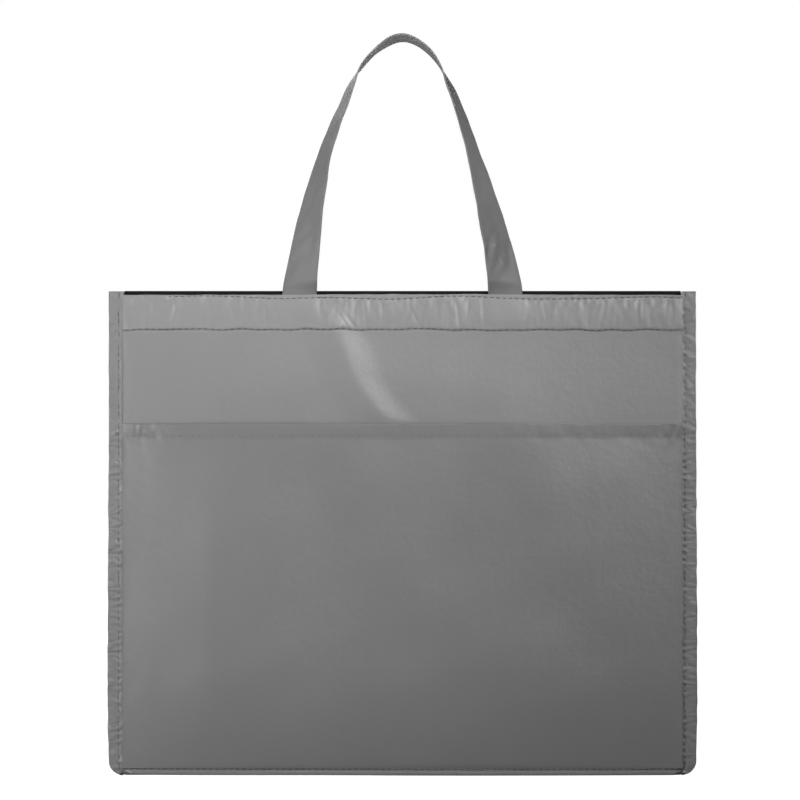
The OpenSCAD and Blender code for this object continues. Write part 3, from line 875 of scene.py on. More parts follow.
# ---- Base board ----------------------------------------------------------------------------
# A loose rigid board lies on the lining and keeps the base flat. It is dark fibreboard with
# softened edges, and it lifts out.
board_finish, draw, places = finish("board")
fibres = draw.node("ShaderNodeMapping", None, {"Vector": places, "Scale": (0.15, 1.0, 1.0)})
strands = speckle(draw, fibres, 2 * MM, 6.0, 0.7)
clouds = speckle(draw, places, 40 * MM)
surface(draw, (strands * 0.7 + clouds * 0.3).mix(grey(0.035, 0.06), grey(0.09, 0.05)),
        0.6 + strands * 0.15, relief(draw, strands, 0.15 * MM))
board_low, board_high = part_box("base_board")
BOARD_R = 6.0 * MM


def board_rings():
    """The board as rings along its length, with rounded corners and eased edges."""
    rings = []
    half_x, half_y = board_high.x, board_high.y
    ease = 0.4 * MM
    turns = np.linspace(0, np.pi / 2, 9)
    ends = half_x - BOARD_R + BOARD_R * np.sin(turns)
    straight = np.linspace(-half_x + BOARD_R, half_x - BOARD_R, 12)[1:-1]
    for x in np.concatenate([-ends[::-1], straight, ends]):
        past = max(abs(x) - (half_x - BOARD_R), 0)
        wide = half_y - BOARD_R + math.sqrt(max(BOARD_R ** 2 - past ** 2, 0.0))
        top = [(x, y, board_high.z) for y in np.linspace(-wide + ease, wide - ease, 8)]
        low = [(x, y, board_low.z) for y in np.linspace(wide - ease, -wide + ease, 8)]
        side = [(x, wide, board_high.z - ease), (x, wide, board_low.z + ease)]
        other = [(x, -wide, board_low.z + ease), (x, -wide, board_high.z - ease)]
        rings.append([other[1], *top, side[0], side[1], *low, other[0]])
    return rings


board = skin("base_board_sheet", board_rings(), board_finish)
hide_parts("base_board")
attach(board, "board")

# ---- Front pocket --------------------------------------------------------------------------
# One wide slip pocket of the same cloth, sewn in at both sides and along the bottom. It stands
# a little off the wall, rounds out and sags towards its foot, and a tape is folded over its
# top edge, which has crinkled at the left where it meets the binding.
# The pocket and its hem take the wall cloth in a darker tone: painted shade, which adds to the real
# shade of its sagging, bulging shape.
pocket_cloth_with_painted_shade = laminate("pocket_cloth_with_painted_shade", 0.172, 0.41)
pocket_low, pocket_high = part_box("front_pocket")
hem_low, hem_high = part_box("pocket_hem")
pocket_x = pocket_high.x
SIDE_RUN = 60.0 * MM
FOOT_RUN = 70.0 * MM
POCKET_FOOT = 5.3 * MM
POCKET_T = 0.8 * MM
HEM_CRINKLE_X = -181 * MM
crinkle = ripples(22, 0.030, 0.007, 21)
drape = ripples(7, 0.34, 0.14, 22)


def pocket_out(x, z):
    """How far the pocket's outer face stands off the wall."""
    side = np.clip((pocket_x - np.abs(x)) / SIDE_RUN, 0, 1)
    foot = np.clip((z - POCKET_FOOT) / FOOT_RUN, 0, 1)
    share_z = np.clip((z - POCKET_FOOT) / (pocket_high.z - POCKET_FOOT), 0, 1)
    wide = 1 - np.clip(np.abs(x) / pocket_x, 0, 1) ** 3
    belly = wide * np.sin(np.pi * share_z ** 0.62) ** 0.8
    top_out = 2.6 * wide * ramp(share_z, 0.55, 1.0)
    pleats = (0.35 * drape(x, z) + 0.10 * middling(x, z)) * side * foot
    edge_pull = (1 - side) * np.where(x < 0, 0.08, 0.02) * crinkle(x, z)
    out = 0.45 + 2.3 * foot * side + 3.4 * belly + top_out + pleats + edge_pull
    return POCKET_T + wall_bulge(x, z) + out * MM


def top_crinkle(x, z):
    """Small puckers along the pocket's top edge, strongest near its left end."""
    near_top = ramp(z, hem_low.z - 9 * MM, hem_low.z + 2 * MM)
    left = 0.25 + 0.75 * hump(x, HEM_CRINKLE_X, 16 * MM)
    right = 0.6 * hump(x, 188 * MM, 10 * MM)
    return near_top * (left + right) * 0.26 * MM * crinkle(x * 1.4, z * 0.7)


def pocket_face(x, z):
    """The pocket's outer face."""
    return x, -wall_y - pocket_out(x, z) - top_crinkle(x, z), z + 0 * x


def even_ends(half, count, fine, run):
    """Columns from one side to the other, closer together over a run at both ends."""
    edge = np.linspace(0, run, fine)
    return np.concatenate([-half + edge, np.linspace(-half + run, half - run, count)[1:-1],
                           half - edge[::-1]])


pocket_columns = even_ends(pocket_x + 0.4 * MM, 170, 12, 14 * MM)
foot_end, top_from = pocket_low.z + 24 * MM, hem_low.z - 10 * MM
pocket_rows = np.concatenate([
    np.linspace(POCKET_FOOT, foot_end, 18)[:-1],
    np.linspace(foot_end, top_from, 80)[:-1],
    np.linspace(top_from, pocket_high.z, 18),
])
pocket = cloth("front_pocket_cloth", pocket_columns, pocket_rows, pocket_face, POCKET_T,
               pocket_cloth_with_painted_shade, (0, -1, 0))
sew_in(pocket, "front_pocket")
HEM_STITCH_AT = 0.17


def hem_rings():
    """The tape folded over the pocket's top edge, as sections from left to right."""
    rings = []
    tall = hem_high.z - hem_low.z
    for x in even_ends(pocket_x + 0.42 * MM, 250, 14, 14 * MM):
        shrink = 0.4 + 0.6 * ramp(pocket_x - abs(x), -0.5 * MM, 3 * MM)
        ends = 0.45 * (hump(x, HEM_CRINKLE_X, 7 * MM) + hump(x, 189 * MM, 8 * MM))
        wave = 0.22 * MM * crinkle(x, 0.4) * (0.35 + 0.65 * hump(x, HEM_CRINKLE_X, 18 * MM))
        front, back = [], []
        for share in (0.0, 0.06, 0.14, 0.2, 0.26, 0.45, 0.65, 0.82, 0.92, 0.975, 1.0):
            z = hem_low.z + share * tall + wave * share
            at = float(pocket_face(np.array(x), np.array(min(z, pocket_high.z)))[1])
            sunk = (0.04 + 0.08 * at_stitch(x)) * hump(share, HEM_STITCH_AT, 0.05)
            lumps = ends * float(crumple(x * 2.2, share * 16 * MM)) * math.sin(math.pi * share)
            puff = 1.15 * share + lumps
            round_off = (max(share - 0.96, 0) / 0.04) ** 2 * 0.35
            out = max(0.14 + puff - sunk - round_off, 0.08) * MM * shrink + 0.02 * MM
            front.append((x, at - out, z))
            over_edge = POCKET_T + (0.42 - round_off) * MM * shrink
            inner = at + (POCKET_T * 0.35 if share < 0.93 else over_edge)
            back.append((x, inner, z if share < 0.975 else z - 0.05 * MM))
        rings.append(front + back[::-1])
    return rings


hem = skin("pocket_hem_tape", hem_rings(), pocket_cloth_with_painted_shade)
sew_in(hem, "pocket_hem")
hem_stitch_z = hem_low.z + HEM_STITCH_AT * (hem_high.z - hem_low.z)
hem_line = []
for x in np.linspace(-pocket_x + 3 * MM, pocket_x - 3 * MM, 240):
    face_y = float(pocket_face(np.array(x), np.array(hem_stitch_z))[1])
    hem_line.append((x, face_y - 0.32 * MM, hem_stitch_z))
sew("pocket_hem_stitches", [hem_line], width=0.24 * MM, length=2.6 * MM)

# ---- Top bands -----------------------------------------------------------------------------
# The top edge of the front and of the back is covered by a folded band of the cloth, sewn along
# its top and its bottom. It is full of small puckers and short creases, apart from the smooth
# places under which the ends of the straps lie. The sides have a plain folded hem.
band_cloth = laminate("band_cloth", 0.225, 0.38)
band_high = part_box("front_band")[1]
strap_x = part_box("front_handle_ends")[1].x - 12 * MM
BAND_T = 2.0 * MM
TOP_STITCH = 4.4 * MM
band_tall = band_high.z - band_low.z
upper_stitch = spot_on(IMAGE_XY["band_upper_stitches"], bpy.data.objects["front_panel_cloth"]).z
lower_stitch = band_low.z + 1.9 * MM
CORNER_FOLD_X = -176 * MM
pucker = ripples(28, 0.020, 0.006, 41)
long_pucker = ripples(16, 0.060, 0.016, 42)
draws = np.random.default_rng(43)
HEM_ROWS = (0.09, 0.86)
CREASES = [  # x, height share at the middle, half length, lean, depth, half width: all in mm
    (-56.5, 0.50, 11, 0.05, 0.55, 0.8), (-46.0, 0.72, 8, -0.05, 0.50, 0.8),
    (-38.5, 0.50, 8, 0.10, 0.42, 0.8), (-9.5, 0.35, 7, 0.55, 0.60, 0.9),
    (-2.0, 0.30, 6, -0.60, 0.50, 0.8), (35.0, 0.22, 6, 0.80, 0.60, 0.9),
    (41.0, 0.28, 7, 0.70, 0.45, 0.9), (-166.5, 0.55, 6, 0.0, -0.45, 0.9),
    (-106.5, 0.50, 8, 0.0, -0.40, 1.0), (-100.0, 0.45, 7, 0.2, 0.30, 1.0),
    (26.0, 0.50, 9, 0.05, 0.30, 1.0), (118.0, 0.45, 8, 0.3, 0.28, 1.2),
    (160.0, 0.5, 8, -0.25, 0.28, 1.2), (-140.0, 0.45, 9, -0.2, 0.30, 1.2),
]
for _ in range(34):
    CREASES.append((draws.uniform(-190, 190), draws.uniform(0.25, 0.8), draws.uniform(3, 8),
                    draws.uniform(-0.5, 0.5), draws.uniform(-0.28, 0.28), draws.uniform(0.7, 1.4)))


def low_wave(x, side):
    """How the band's lower seam wanders up and down."""
    return 0.32 * MM * long_pucker(x * 0.8, side + 7)


def band_relief(x, z, side):
    """How far the band's face stands off the wall, at the front (side -1) or the back (1)."""
    share = (z - band_low.z) / band_tall
    over_strap = np.exp(-((np.abs(x) - strap_x) / (13.5 * MM)) ** 6)
    top_at = (upper_stitch - band_low.z) / band_tall + 0.03 * slow(x * 2, side)
    low_at = (lower_stitch + low_wave(x, side) - band_low.z) / band_tall
    puff = np.sin(np.pi * np.clip((share - low_at) / (top_at - low_at), 0, 1)) ** 0.8
    top_seam = hump(share, top_at, 0.030) * ramp(x * -side, -168 * MM, -160 * MM)
    low_seam = hump(share, low_at, 0.026)
    slack = 1 - 0.85 * over_strap
    rough = 0.16 * pucker(x * 1.7, z * 0.8 + side) + 0.16 * long_pucker(x * 1.3, z * 0.6 - side)
    near_rows = 0.5 + 0.9 * hump(share, top_at, 0.2) + 0.6 * hump(share, low_at, 0.2)
    lift = 1.35 + 0.38 * puff * (1 + 0.25 * slow(x * 1.5, side + 1))
    lift = lift + 0.8 * rough * near_rows * slack
    for at, tall, half, lean, deep, wide in CREASES:
        along = (z - band_low.z) / MM - tall * band_tall / MM
        across = side * (x / MM + at) - lean * along
        lift = lift - deep * slack * hump(across, 0, wide) * hump(along, 0, half)
    # One soft fold runs down from the front band's left end
    from_corner = x - CORNER_FOLD_X
    corner = hump(from_corner, 0, 24 * MM) * hump(share - 0.72, from_corner * 3.2, 0.10)
    lift = lift - 0.55 * corner * (side < 0)
    lift = lift + 0.55 * over_strap * ramp(share, 0.05, 0.3)
    lift = lift - top_seam * (0.16 + 0.34 * at_stitch(x, TOP_STITCH))
    lift = lift - low_seam * (0.34 + 0.16 * at_stitch(x))
    # The top edge is folded over, and the lower one thins out to the wall below its stitches
    fold = np.clip((share - 0.985) / 0.015, 0, 1)
    lift = lift - 0.4 * fold ** 2
    toe = ramp(share, low_at - 0.028, low_at + 0.006)
    lift = 0.10 + (np.maximum(lift, 0.5) - 0.10) * toe
    held = ramp(pocket_x - np.abs(x), -1 * MM, 2.5 * MM)
    return lift * MM * (0.72 + 0.28 * held)


def band_top(x, side):
    """Height of the band's folded top edge, which rises a little between the straps."""
    rise = 0.50 * hump(x, 20 * MM, 120 * MM) + 0.08 * long_pucker(x, side) - 0.50
    return band_high.z + rise * MM


def band_rings(side):
    """The folded band as sections across it, from left to right."""
    rings = []
    shares = np.concatenate([np.linspace(0, 0.12, 7)[:-1], np.linspace(0.12, 0.72, 12)[:-1],
                             np.linspace(0.72, 1.0, 14)])
    for x in np.linspace(-pocket_x - 0.42 * MM, pocket_x + 0.42 * MM, 432):
        top = band_top(x, side)
        low = band_low.z + 0.12 * MM * float(long_pucker(x, side + 5))
        z = low + shares * (top - low)
        across = np.full(len(z), x)
        lift = band_relief(across, band_low.z + shares * band_tall, side)
        hollow = np.minimum(lift - 0.5 * MM, np.maximum(lift * 0.5, 0.95 * MM))
        wall = wall_y + stands_out(across, z, side)
        outer = np.stack([across, side * (wall + lift), z], -1)
        inner = np.stack([across, side * (wall + hollow), np.minimum(z, top - 0.35 * MM)], -1)
        rings.append(np.concatenate([outer, inner[::-1]]))
    return rings


for wall, side in SIDES:
    band = skin(f"{wall}_band_cloth", band_rings(side), band_cloth)
    sew_in(band, f"{wall}_band")
    band_lines = []
    for height, wave in ((upper_stitch, 1.0), (lower_stitch, 0.0)):
        line = []
        reach = pocket_x - 3 * MM
        # The upper row stops short of one corner, where the fold lies over it
        from_x = -reach + wave * 30 * MM * (side < 0)
        to_x = reach - wave * 30 * MM * (side > 0)
        for x in np.linspace(from_x, to_x, 260):
            z = height + wave * 0.03 * float(slow(x * 2, side)) * band_tall
            z += (1 - wave) * float(low_wave(x, side))
            out = float(band_relief(np.array(x), np.array(z), side))
            out += float(stands_out(np.array(x), np.array(z), side))
            line.append((x, side * (wall_y + out + (0.02 + 0.14 * wave) * MM), z))
        band_lines.append(line)
    sew(f"{wall}_band_top_stitches", band_lines[:1], width=0.64 * MM, length=3.2 * MM,
        pitch=TOP_STITCH)
    sew(f"{wall}_band_low_stitches", band_lines[1:], width=0.62 * MM, length=4.2 * MM)
    if side < 0:
        for point, line in zip(("band_upper_stitches", "band_lower_stitches"), band_lines):
            [place for place in line if abs(place[0]) < 3 * MM]

for side_name, sign in EDGES:
    hem_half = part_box(f"{side_name}_top_hem")[1].y
    rings = []
    for y in np.linspace(-hem_half + 0.03 * MM, hem_half - 0.03 * MM, 150):
        z = np.linspace(band_low.z, band_high.z, 22)
        share = (z - band_low.z) / band_tall
        lift = 0.72 + 0.22 * np.sin(np.pi * share) + 0.07 * pucker(y * 1.5, z + sign)
        for row in HEM_ROWS:
            lift = lift - hump(share, row, 0.05) * (0.12 + 0.14 * at_stitch(y))
        lift = (lift - 0.35 * np.clip((share - 0.96) / 0.04, 0, 1) ** 2) * MM
        lift = lift * (0.45 + 0.55 * ramp(hem_half - abs(y), 0, 6 * MM))
        across = np.full(len(z), y)
        base = outer_x - side_dent(across, z)
        outer = np.stack([sign * (base + lift), across, z], -1)
        inner = np.stack([sign * (base + 0.02 * MM), across, z], -1)
        rings.append(np.concatenate([outer, inner[::-1]]))
    side_hem = skin(f"{side_name}_top_hem_cloth", rings, band_cloth)
    sew_in(side_hem, f"{side_name}_top_hem")
    hem_lines = []
    for row in HEM_ROWS:
        z = band_low.z + row * band_tall
        hem_lines.append([
            (sign * (outer_x + 0.66 * MM - float(side_dent(np.array(y), np.array(z)))), y, z)
            for y in np.linspace(-hem_half + 4 * MM, hem_half - 4 * MM, 90)])
    sew(f"{side_name}_hem_stitches", hem_lines, width=0.42 * MM)

# ---- Strap handles -------------------------------------------------------------------------
# Each handle is one long strip of the cloth folded into a flat strap and bent into a loop. Its
# ends go down inside the band. The front one stands up and turns edge-on near its top, as in
# the photograph, and the back one is folded over and hangs behind.
strap_cloth = laminate("strap_cloth", 0.126, 0.54, depth=1.2)
STRAP_W = 24.0 * MM
STRAP_T = 1.2 * MM
LOOP_H = 178.6 * MM
ROUND = 2 / 1.2
OVER_EDGE = 6.83 * MM
hinge_y = wall_y + BAND_T + 0.9 * MM
hinge_z = wall_top + 0.9 * MM
tail_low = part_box("front_handle_ends")[0].z
tail_y = wall_y + 0.6 * MM
TWIST = {
    "front": ([0, 0.03, 0.06, 0.12, 0.28, 0.46, 0.554, 0.65, 0.74, 0.81, 0.87, 0.94, 1],
              [0, 9, 18, 27, 43, 60, 68, 72, 75, 79, 89, 94, 98]),
    "back": ([0, 0.056, 0.15, 0.23, 0.34, 0.45, 0.62, 0.84, 0.94, 1],
             [0, 6, 18, 36, 58, 71, 78, 86, 97, 106]),
}
strap_wave = ripples(16, 0.060, 0.018, 51)
strap_crease = ripples(18, 0.022, 0.008, 52)


def loop_line():
    """Centre line of a loop from its left root to its right one: places and directions."""
    turn = np.linspace(-np.pi / 2, np.pi / 2, 260)
    x = strap_x * np.sin(turn)
    h = LOOP_H * np.maximum(np.cos(turn), 0) ** ROUND
    x = x - 2.2 * MM * np.sin(np.pi * np.clip(h / LOOP_H, 0, 1)) ** 2 * (h < LOOP_H)
    x = x - 2.0 * MM * hump(h / LOOP_H, 0.86, 0.09) * ramp(-x, 0, 20 * MM)
    step = np.stack([np.gradient(x), np.gradient(h)], -1)
    along = step / np.maximum(np.linalg.norm(step, axis=1, keepdims=True), 1e-12)
    along[0], along[-1] = (0, 1), (0, -1)
    return x, h, along


def strap_rings(end):
    """The strap as sections: x, height above the hinge and distance out from its plane."""
    x, h, along = loop_line()
    shares, turns = TWIST[end]
    angle = np.interp(h / LOOP_H, shares, turns)
    kernel = np.hanning(13) / np.hanning(13).sum()
    angle = np.convolve(np.pad(angle, 6, mode="edge"), kernel, "valid")
    tail_h = np.linspace(tail_low + 1 * MM - hinge_z, -0.4 * MM, 16)
    if end == "back":
        # The hanging strap also goes over the band's top edge
        tail_h = np.concatenate([tail_h, np.linspace(0, OVER_EDGE - 0.3 * MM, 12)])
        h = h + OVER_EDGE
    x = np.concatenate([np.full(len(tail_h), -strap_x), x, np.full(len(tail_h), strap_x)])
    h = np.concatenate([tail_h, h, tail_h[::-1]])
    angle = np.radians(np.concatenate([np.zeros(len(tail_h)), angle, np.zeros(len(tail_h))]))
    up, down = np.tile((0.0, 1.0), (len(tail_h), 1)), np.tile((0.0, -1.0), (len(tail_h), 1))
    along = np.concatenate([up, along, down])
    length = np.concatenate([[0], np.cumsum(np.hypot(np.diff(x), np.diff(h)))])
    half = np.array([0.25, 0.5, 0.72, 0.84, 0.93, 0.985, 1])
    thick = np.array([0.9, 0.86, 0.80, 0.98, 1, 0.72, 0.30])
    across = np.concatenate([-half[::-1], [0], half])
    plump = np.concatenate([thick[::-1], [0.9], thick])
    rings = []
    for i in range(len(x)):
        out = np.array([-along[i, 1], along[i, 0], 0.0])
        wide = out * math.cos(angle[i]) + np.array([0, 0, -1.0]) * math.sin(angle[i])
        face = out * math.sin(angle[i]) + np.array([0, 0, 1.0]) * math.cos(angle[i])
        free = ramp(h[i], 4 * MM, 22 * MM)
        w = across * STRAP_W / 2
        s = length[i]
        crease = (0.10 + 0.45 * (1 - ramp(h[i], 50 * MM, 90 * MM))) * (1 - 0.85 * across ** 2)
        warp = 0.17 * strap_wave(w + s * 0.25, s) + crease * strap_crease(w * 1.2 + s * 0.5, s)
        warp = free * (warp + 0.15 * (across ** 2) * strap_wave(np.zeros_like(w), s * 0.6)) * MM
        narrow = 1 - 0.006 * free * (1 + strap_wave(0.3, s))
        middle = np.array([x[i], h[i], 0.0]) + np.outer(w * narrow, wide)
        front = middle + np.outer(warp + plump * STRAP_T / 2, face)
        back = middle + np.outer(warp - plump * STRAP_T / 2, face)
        rings.append(np.concatenate([front, back[::-1]]))
    return np.array(rings)


def place_front(rings):
    """Front loop: upright, stepping forward out of the band above its top edge."""
    x, h, out = rings[..., 0], rings[..., 1], rings[..., 2]
    step = tail_y + (hinge_y - tail_y) * ramp(h, -0.6 * MM, 9 * MM)
    return np.stack([x, -(step + out), hinge_z + h], -1)


def place_back(rings):
    """Back loop: out of the band, over its top edge and down behind it."""
    x, s, out = rings[..., 0], rings[..., 1], rings[..., 2]
    radius = hinge_y - tail_y
    hang = math.radians(170)
    turn = np.clip(s / radius, 0, hang)
    past = np.where(s < 0, s, np.maximum(s - radius * hang, 0))
    y = hinge_y - (radius - out) * np.cos(turn) + past * np.sin(turn)
    z = hinge_z + (radius - out) * np.sin(turn) + past * np.cos(turn)
    return np.stack([x, y, z], -1)


front_rings = place_front(strap_rings("front"))
back_rings = place_back(strap_rings("back"))
for end, rings in (("front", front_rings), ("back", back_rings)):
    strap = skin(f"{end}_handle_strap", rings, strap_cloth)
    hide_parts(f"{end}_handle", f"{end}_handle_ends")
    if end == "front":
        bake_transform(strap)
    else:
        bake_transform(strap)


def strap_at(sign, middle, reach):
    """The front strap's left (sign -1) or right leg within a reach of a height."""
    near = abs(front_rings[..., 2] - middle) < reach
    return front_rings[near & (sign * front_rings[..., 0] > 0)]


for side_name, sign in EDGES:
    strap_at(sign, hinge_z + 2 * MM, 2 * MM)
for side_name, sign in EDGES:
    point = f"{side_name}_strap_edge_on"
    strap_at(sign, (FLOOR_ROW - IMAGE_XY[point][1]) * PX, 2 * MM)

# ---- Padded lid flaps ----------------------------------------------------------------------
# Two flaps close the top: foam in a cover of thin black cloth, with foil below. Each is sewn to
# its wall along its root and slopes down a little to the zip in the middle.
def black_weave(name, tone, scale):
    """Black woven cloth, its threads running along and across."""
    material, draw, places = finish(name)
    warp, weft = (draw.node("ShaderNodeTexWave", {"bands_direction": way},
                            {"Vector": places, "Scale": scale}) for way in "XY")
    threads = warp * weft
    clouds = speckle(draw, places, 30 * MM, 4.0)
    surface(draw, (threads * 0.7 + clouds * 0.3).mix(grey(tone * 0.5), grey(tone * 1.6)),
            0.72 + clouds * 0.16, relief(draw, threads, 0.06 * MM),
            {"Specular IOR Level": 0.2, "Sheen Weight": 0.04, "Sheen Roughness": 0.5})
    return material


black_cloth = black_weave("black_cloth", 0.0045, 420.0)
flap_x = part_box("front_flap_cover")[1].x
flap_root_y = wall_y - 4.0 * MM
zip_line_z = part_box("zip_end_tabs")[1].z
SLOPE = math.atan((wall_top - zip_line_z) / flap_root_y)
FLAP_EDGE = flap_root_y / math.cos(SLOPE) - 8.0 * MM
FLAP_T = 2.5 * MM
quilt = ripples(14, 0.11, 0.035, 61)
small_quilt = ripples(16, 0.03, 0.01, 62)


def on_flap(side, x, u, v):
    """A place on a flap: u runs from its root to the zip, v up from its underside."""
    y = -flap_root_y + u * math.cos(SLOPE) + v * math.sin(SLOPE)
    z = wall_top - u * math.sin(SLOPE) + v * math.cos(SLOPE)
    return x, -side * y if side > 0 else y, z


def flap_sheet(side, low, high, inset, puff):
    """Shape of one layer of a flap: its outer face is high at the middle and low at its edges."""
    half, from_u, to_u = flap_x + 1.4 * MM - inset, 0.1 * MM + inset, FLAP_EDGE - inset

    def place(x, u):
        edge = np.minimum(np.minimum(half - np.abs(x), u - from_u), to_u - u)
        share = np.clip(edge / (0.7 * MM), 0, 1)
        rim = np.sqrt(np.maximum(1 - (1 - share) ** 2, 0))
        soft = puff * ramp(edge, 0, 12 * MM) * (quilt(x, u * side) * 0.5 + small_quilt(x, u) * 0.15)
        base = low - (1.2 * MM - inset * 1.2) * (1 - ramp(u, 0.5 * MM, 3 * MM))
        return on_flap(side, x, u, base + (high - base) * rim + np.clip(soft, -0.25 * MM, 0.2 * MM))

    rim = np.array([0, 0.02, 0.08, 0.2, 0.35, 0.6]) * 1.3 * MM
    middle = np.linspace(from_u + 1.5 * MM, to_u - 1.5 * MM, 36)
    return (even_ends(half, 120, 9, 1.4 * MM),
            np.concatenate([from_u + rim, middle, to_u - rim[::-1]]), place)


for end, side in SIDES:
    body = f"{end}_flap"
    us, vs, place = flap_sheet(side, 0.42 * MM, FLAP_T, 0.0, 0.5 * MM)
    cover = cloth(f"{end}_flap_cover_cloth", us, vs, place, 0.38 * MM, black_cloth, (0, 0, 1))
    us, vs, place = flap_sheet(side, 0.42 * MM, FLAP_T - 0.75 * MM, 0.6 * MM, 0.0)
    pad = cloth(f"{end}_flap_pad", us[::2], vs, place, 1.25 * MM, foam_white, (0, 0, 1))

    def flap_under(x, u, side=side):
        near = np.minimum(np.minimum(flap_x - np.abs(x), u), FLAP_EDGE - u)
        return on_flap(side, x, u, 0.12 * MM * foil_lift(x, u) * ramp(near, 0, 6 * MM) + 0.02 * MM)

    under_x = flap_x - 0.02 * MM
    under = cloth(f"{end}_flap_lining_sheet", np.linspace(-under_x, under_x, 160),
                  np.linspace(0.85 * MM, FLAP_EDGE - 0.02 * MM, 40), flap_under, -0.36 * MM, foil,
                  (0, 0, 1))
    sew_in(cover, f"{end}_flap_cover", body=body)
    pad_with_foam(pad, f"{end}_flap_foam", body)
    sew_in(under, f"{end}_flap_lining", body=body)
    rows = []
    for u in (3.0 * MM, FLAP_EDGE - 3.0 * MM):
        rows.append([on_flap(side, x, u, FLAP_T + 0.02 * MM)
                     for x in np.linspace(-flap_x + 3 * MM, flap_x - 3 * MM, 120)])
    sew(f"{end}_flap_stitches", rows, body, width=0.35 * MM, length=2.6 * MM, pitch=3.6 * MM)

# ---- Zip -----------------------------------------------------------------------------------
# Black zip: a herringbone tape is sewn under each flap and carries a nylon coil along its edge.
# A painted slider closes it, a flat pull hangs in its bail, and cloth tabs tie down both ends.
zip_tape_cloth = black_weave("zip_tape", 0.006, 900.0)
coil_nylon, draw, places = finish("zip_coil")
streak = speckle(draw, places, 1.2 * MM)
surface(draw, streak.mix(grey(0.006), grey(0.016)), 0.28 + streak * 0.14,
        relief(draw, streak, 0.03 * MM))
tape_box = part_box("front_zip_tape")
coil_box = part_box("front_zip_coil")
TAPE_FROM = FLAP_EDGE - 6.0 * MM
COIL_OUT = flap_root_y / math.cos(SLOPE) - 0.75 * MM
COIL_IN = COIL_OUT - 3.0 * MM


def coil_tree(nylon):
    """Geometry nodes that wind a flat coil of nylon along X, from the middle of its length."""
    draw, given = open_tree("nylon_coil", {"Long": 0.32, "Turns": 250.0, "Wide": 2.4 * MM,
                                           "Tall": 1.0 * MM, "Wire": 0.30 * MM})
    wound = draw.node("GeometryNodeCurveSpiral", None, {
        "Resolution": 10, "Start Radius": 0.5, "End Radius": 0.5,
        "Rotations": given["Turns"], "Height": given["Long"]})
    size = draw.node("ShaderNodeCombineXYZ", None, {"X": given["Tall"], "Y": given["Wide"], "Z": 1.0})
    flat = draw.node("GeometryNodeTransform", None, {"Geometry": wound, "Scale": size})
    laid = draw.node("GeometryNodeTransform", None,
                     {"Geometry": flat, "Rotation": (0.0, math.radians(90), 0.0)})
    wire = draw.node("GeometryNodeCurvePrimitiveCircle", None,
                     {"Resolution": 5, "Radius": given["Wire"]})
    coil = draw.node("GeometryNodeCurveToMesh", None,
                     {"Curve": laid, "Profile Curve": wire, "Fill Caps": True})
    return close_tree(draw, coil, nylon)


nylon_coil = coil_tree(coil_nylon)
for end, side in SIDES:
    body = f"{end}_flap"

    def tape_face(x, u, side=side):
        return on_flap(side, x, u, -0.02 * MM + 0.03 * MM * middling(x, u))

    tape = cloth(f"{end}_zip_tape_cloth", np.linspace(tape_box[0].x, tape_box[1].x, 140),
                 np.linspace(TAPE_FROM, COIL_OUT, 12), tape_face, 0.56 * MM, zip_tape_cloth,
                 (0, 0, 1))
    sew_in(tape, f"{end}_zip_tape",
           body=body)
    long = coil_box[1].x - coil_box[0].x - 0.8 * MM
    coil = plain_mesh(f"{end}_zip_coil_nylon", [[(0, 0, 0), (MM, 0, 0)]], nylon_coil,
                      {"Long": long, "Turns": long / (1.28 * MM)}, body)
    tilt = Matrix.Rotation(side * SLOPE, 4, "X")
    middle = on_flap(side, 0.0, (COIL_IN + COIL_OUT) / 2, 0.82 * MM)
    coil.data.transform(Matrix.Translation((coil_box[0].x + 0.4 * MM, middle[1], middle[2])) @ tilt)
    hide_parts(f"{end}_zip_coil")
    rows = [[on_flap(side, x, COIL_IN + 0.2 * MM, 0.1 * MM)
             for x in np.linspace(coil_box[0].x + MM, coil_box[1].x - MM, 150)]]
    sew(f"{end}_zip_stitches", rows, body, width=0.3 * MM, length=1.9 * MM, pitch=2.4 * MM)


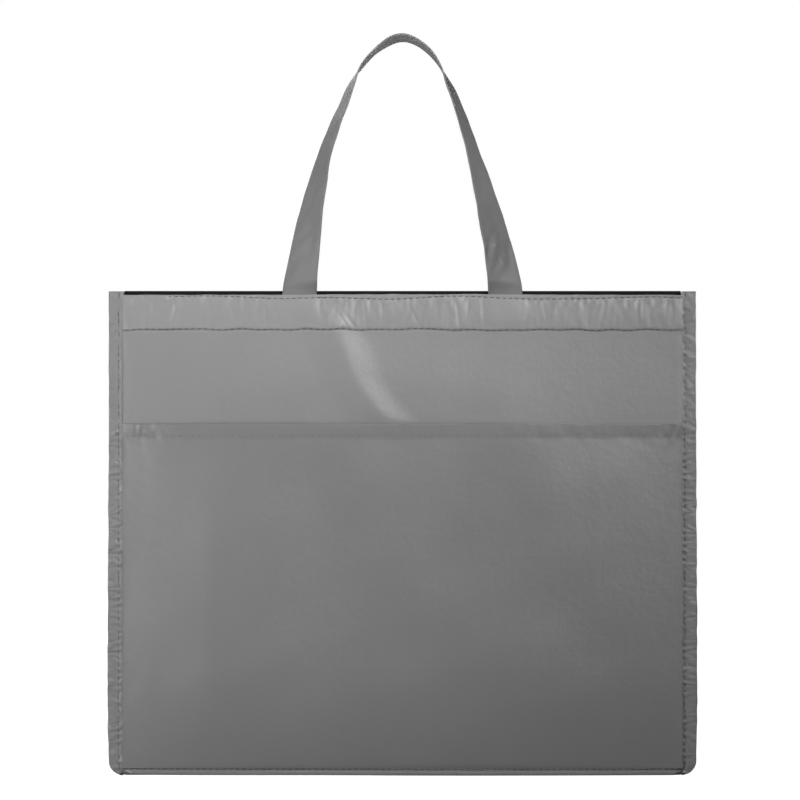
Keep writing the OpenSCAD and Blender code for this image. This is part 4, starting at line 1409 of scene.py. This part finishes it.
def eased_copy(node, name, material, ease):
    """A piece with the CAD node's shape, its edges rounded over."""
    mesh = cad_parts[node].data.copy()
    mesh.name = name
    work = bmesh.new()
    work.from_mesh(mesh)
    bmesh.ops.remove_doubles(work, verts=work.verts, dist=1e-6)
    bmesh.ops.dissolve_limit(work, angle_limit=math.radians(2), verts=work.verts, edges=work.edges)
    sharp = [edge for edge in work.edges if len(edge.link_faces) == 2
             and edge.calc_face_angle() > math.radians(35)]
    bmesh.ops.bevel(work, geom=sharp, offset=ease, segments=2, profile=0.5, affect="EDGES",
                    clamp_overlap=True)
    bmesh.ops.triangulate(work, faces=work.faces)
    work.to_mesh(mesh)
    work.free()
    mesh.materials.clear()
    mesh.materials.append(material)
    mesh.shade_smooth()
    mesh.set_sharp_from_angle(angle=math.radians(40))
    made = put_in(name, mesh)
    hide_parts(node)
    return made


tabs = eased_copy("zip_end_tabs", "zip_end_tabs_cloth", zip_tape_cloth, 0.12 * MM)
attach(tabs, "bag")
slider_metal, draw, places = finish("slider_metal")
worn = draw.node("ShaderNodeNewGeometry", None, None, "Pointiness").fade(0.52, 0.60)
flecks = speckle(draw, places, 1.6 * MM, 4.0)
surface(draw, (worn * 0.7 + flecks * 0.1).mix(grey(0.012), grey(0.16)), 0.30 + flecks * 0.15,
        relief(draw, flecks, 0.03 * MM), {"Metallic": 0.85})
slider = eased_copy("zip_slider", "zip_slider_metal", slider_metal, 0.18 * MM)
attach(slider, "slider")
pull = eased_copy("zip_pull", "zip_pull_metal", slider_metal, 0.22 * MM)
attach(pull, "pull")

# ---- What the camera sees of it ------------------------------------------------------------
# The outline of the whole part in the frame is gathered from the shown pieces, leaving out the back
# strap.
for point, sign in (("lid_line_left_end", -1), ("lid_line_right_end", 1)):
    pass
outline = {name: [] for name in ("left", "right", "top", "bottom")}
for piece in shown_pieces():
    if piece.type != "MESH" or piece.name.startswith("back_handle"):
        continue
    spots = np.empty(len(piece.data.vertices) * 3)
    piece.data.vertices.foreach_get("co", spots)
    seen = seen_at(spots.reshape(-1, 3)[::3])
    outline["left"].append(seen[:, 0].min())
    outline["right"].append(seen[:, 0].max())
    outline["top"].append(seen[:, 1].min())
    outline["bottom"].append(seen[:, 1].max())
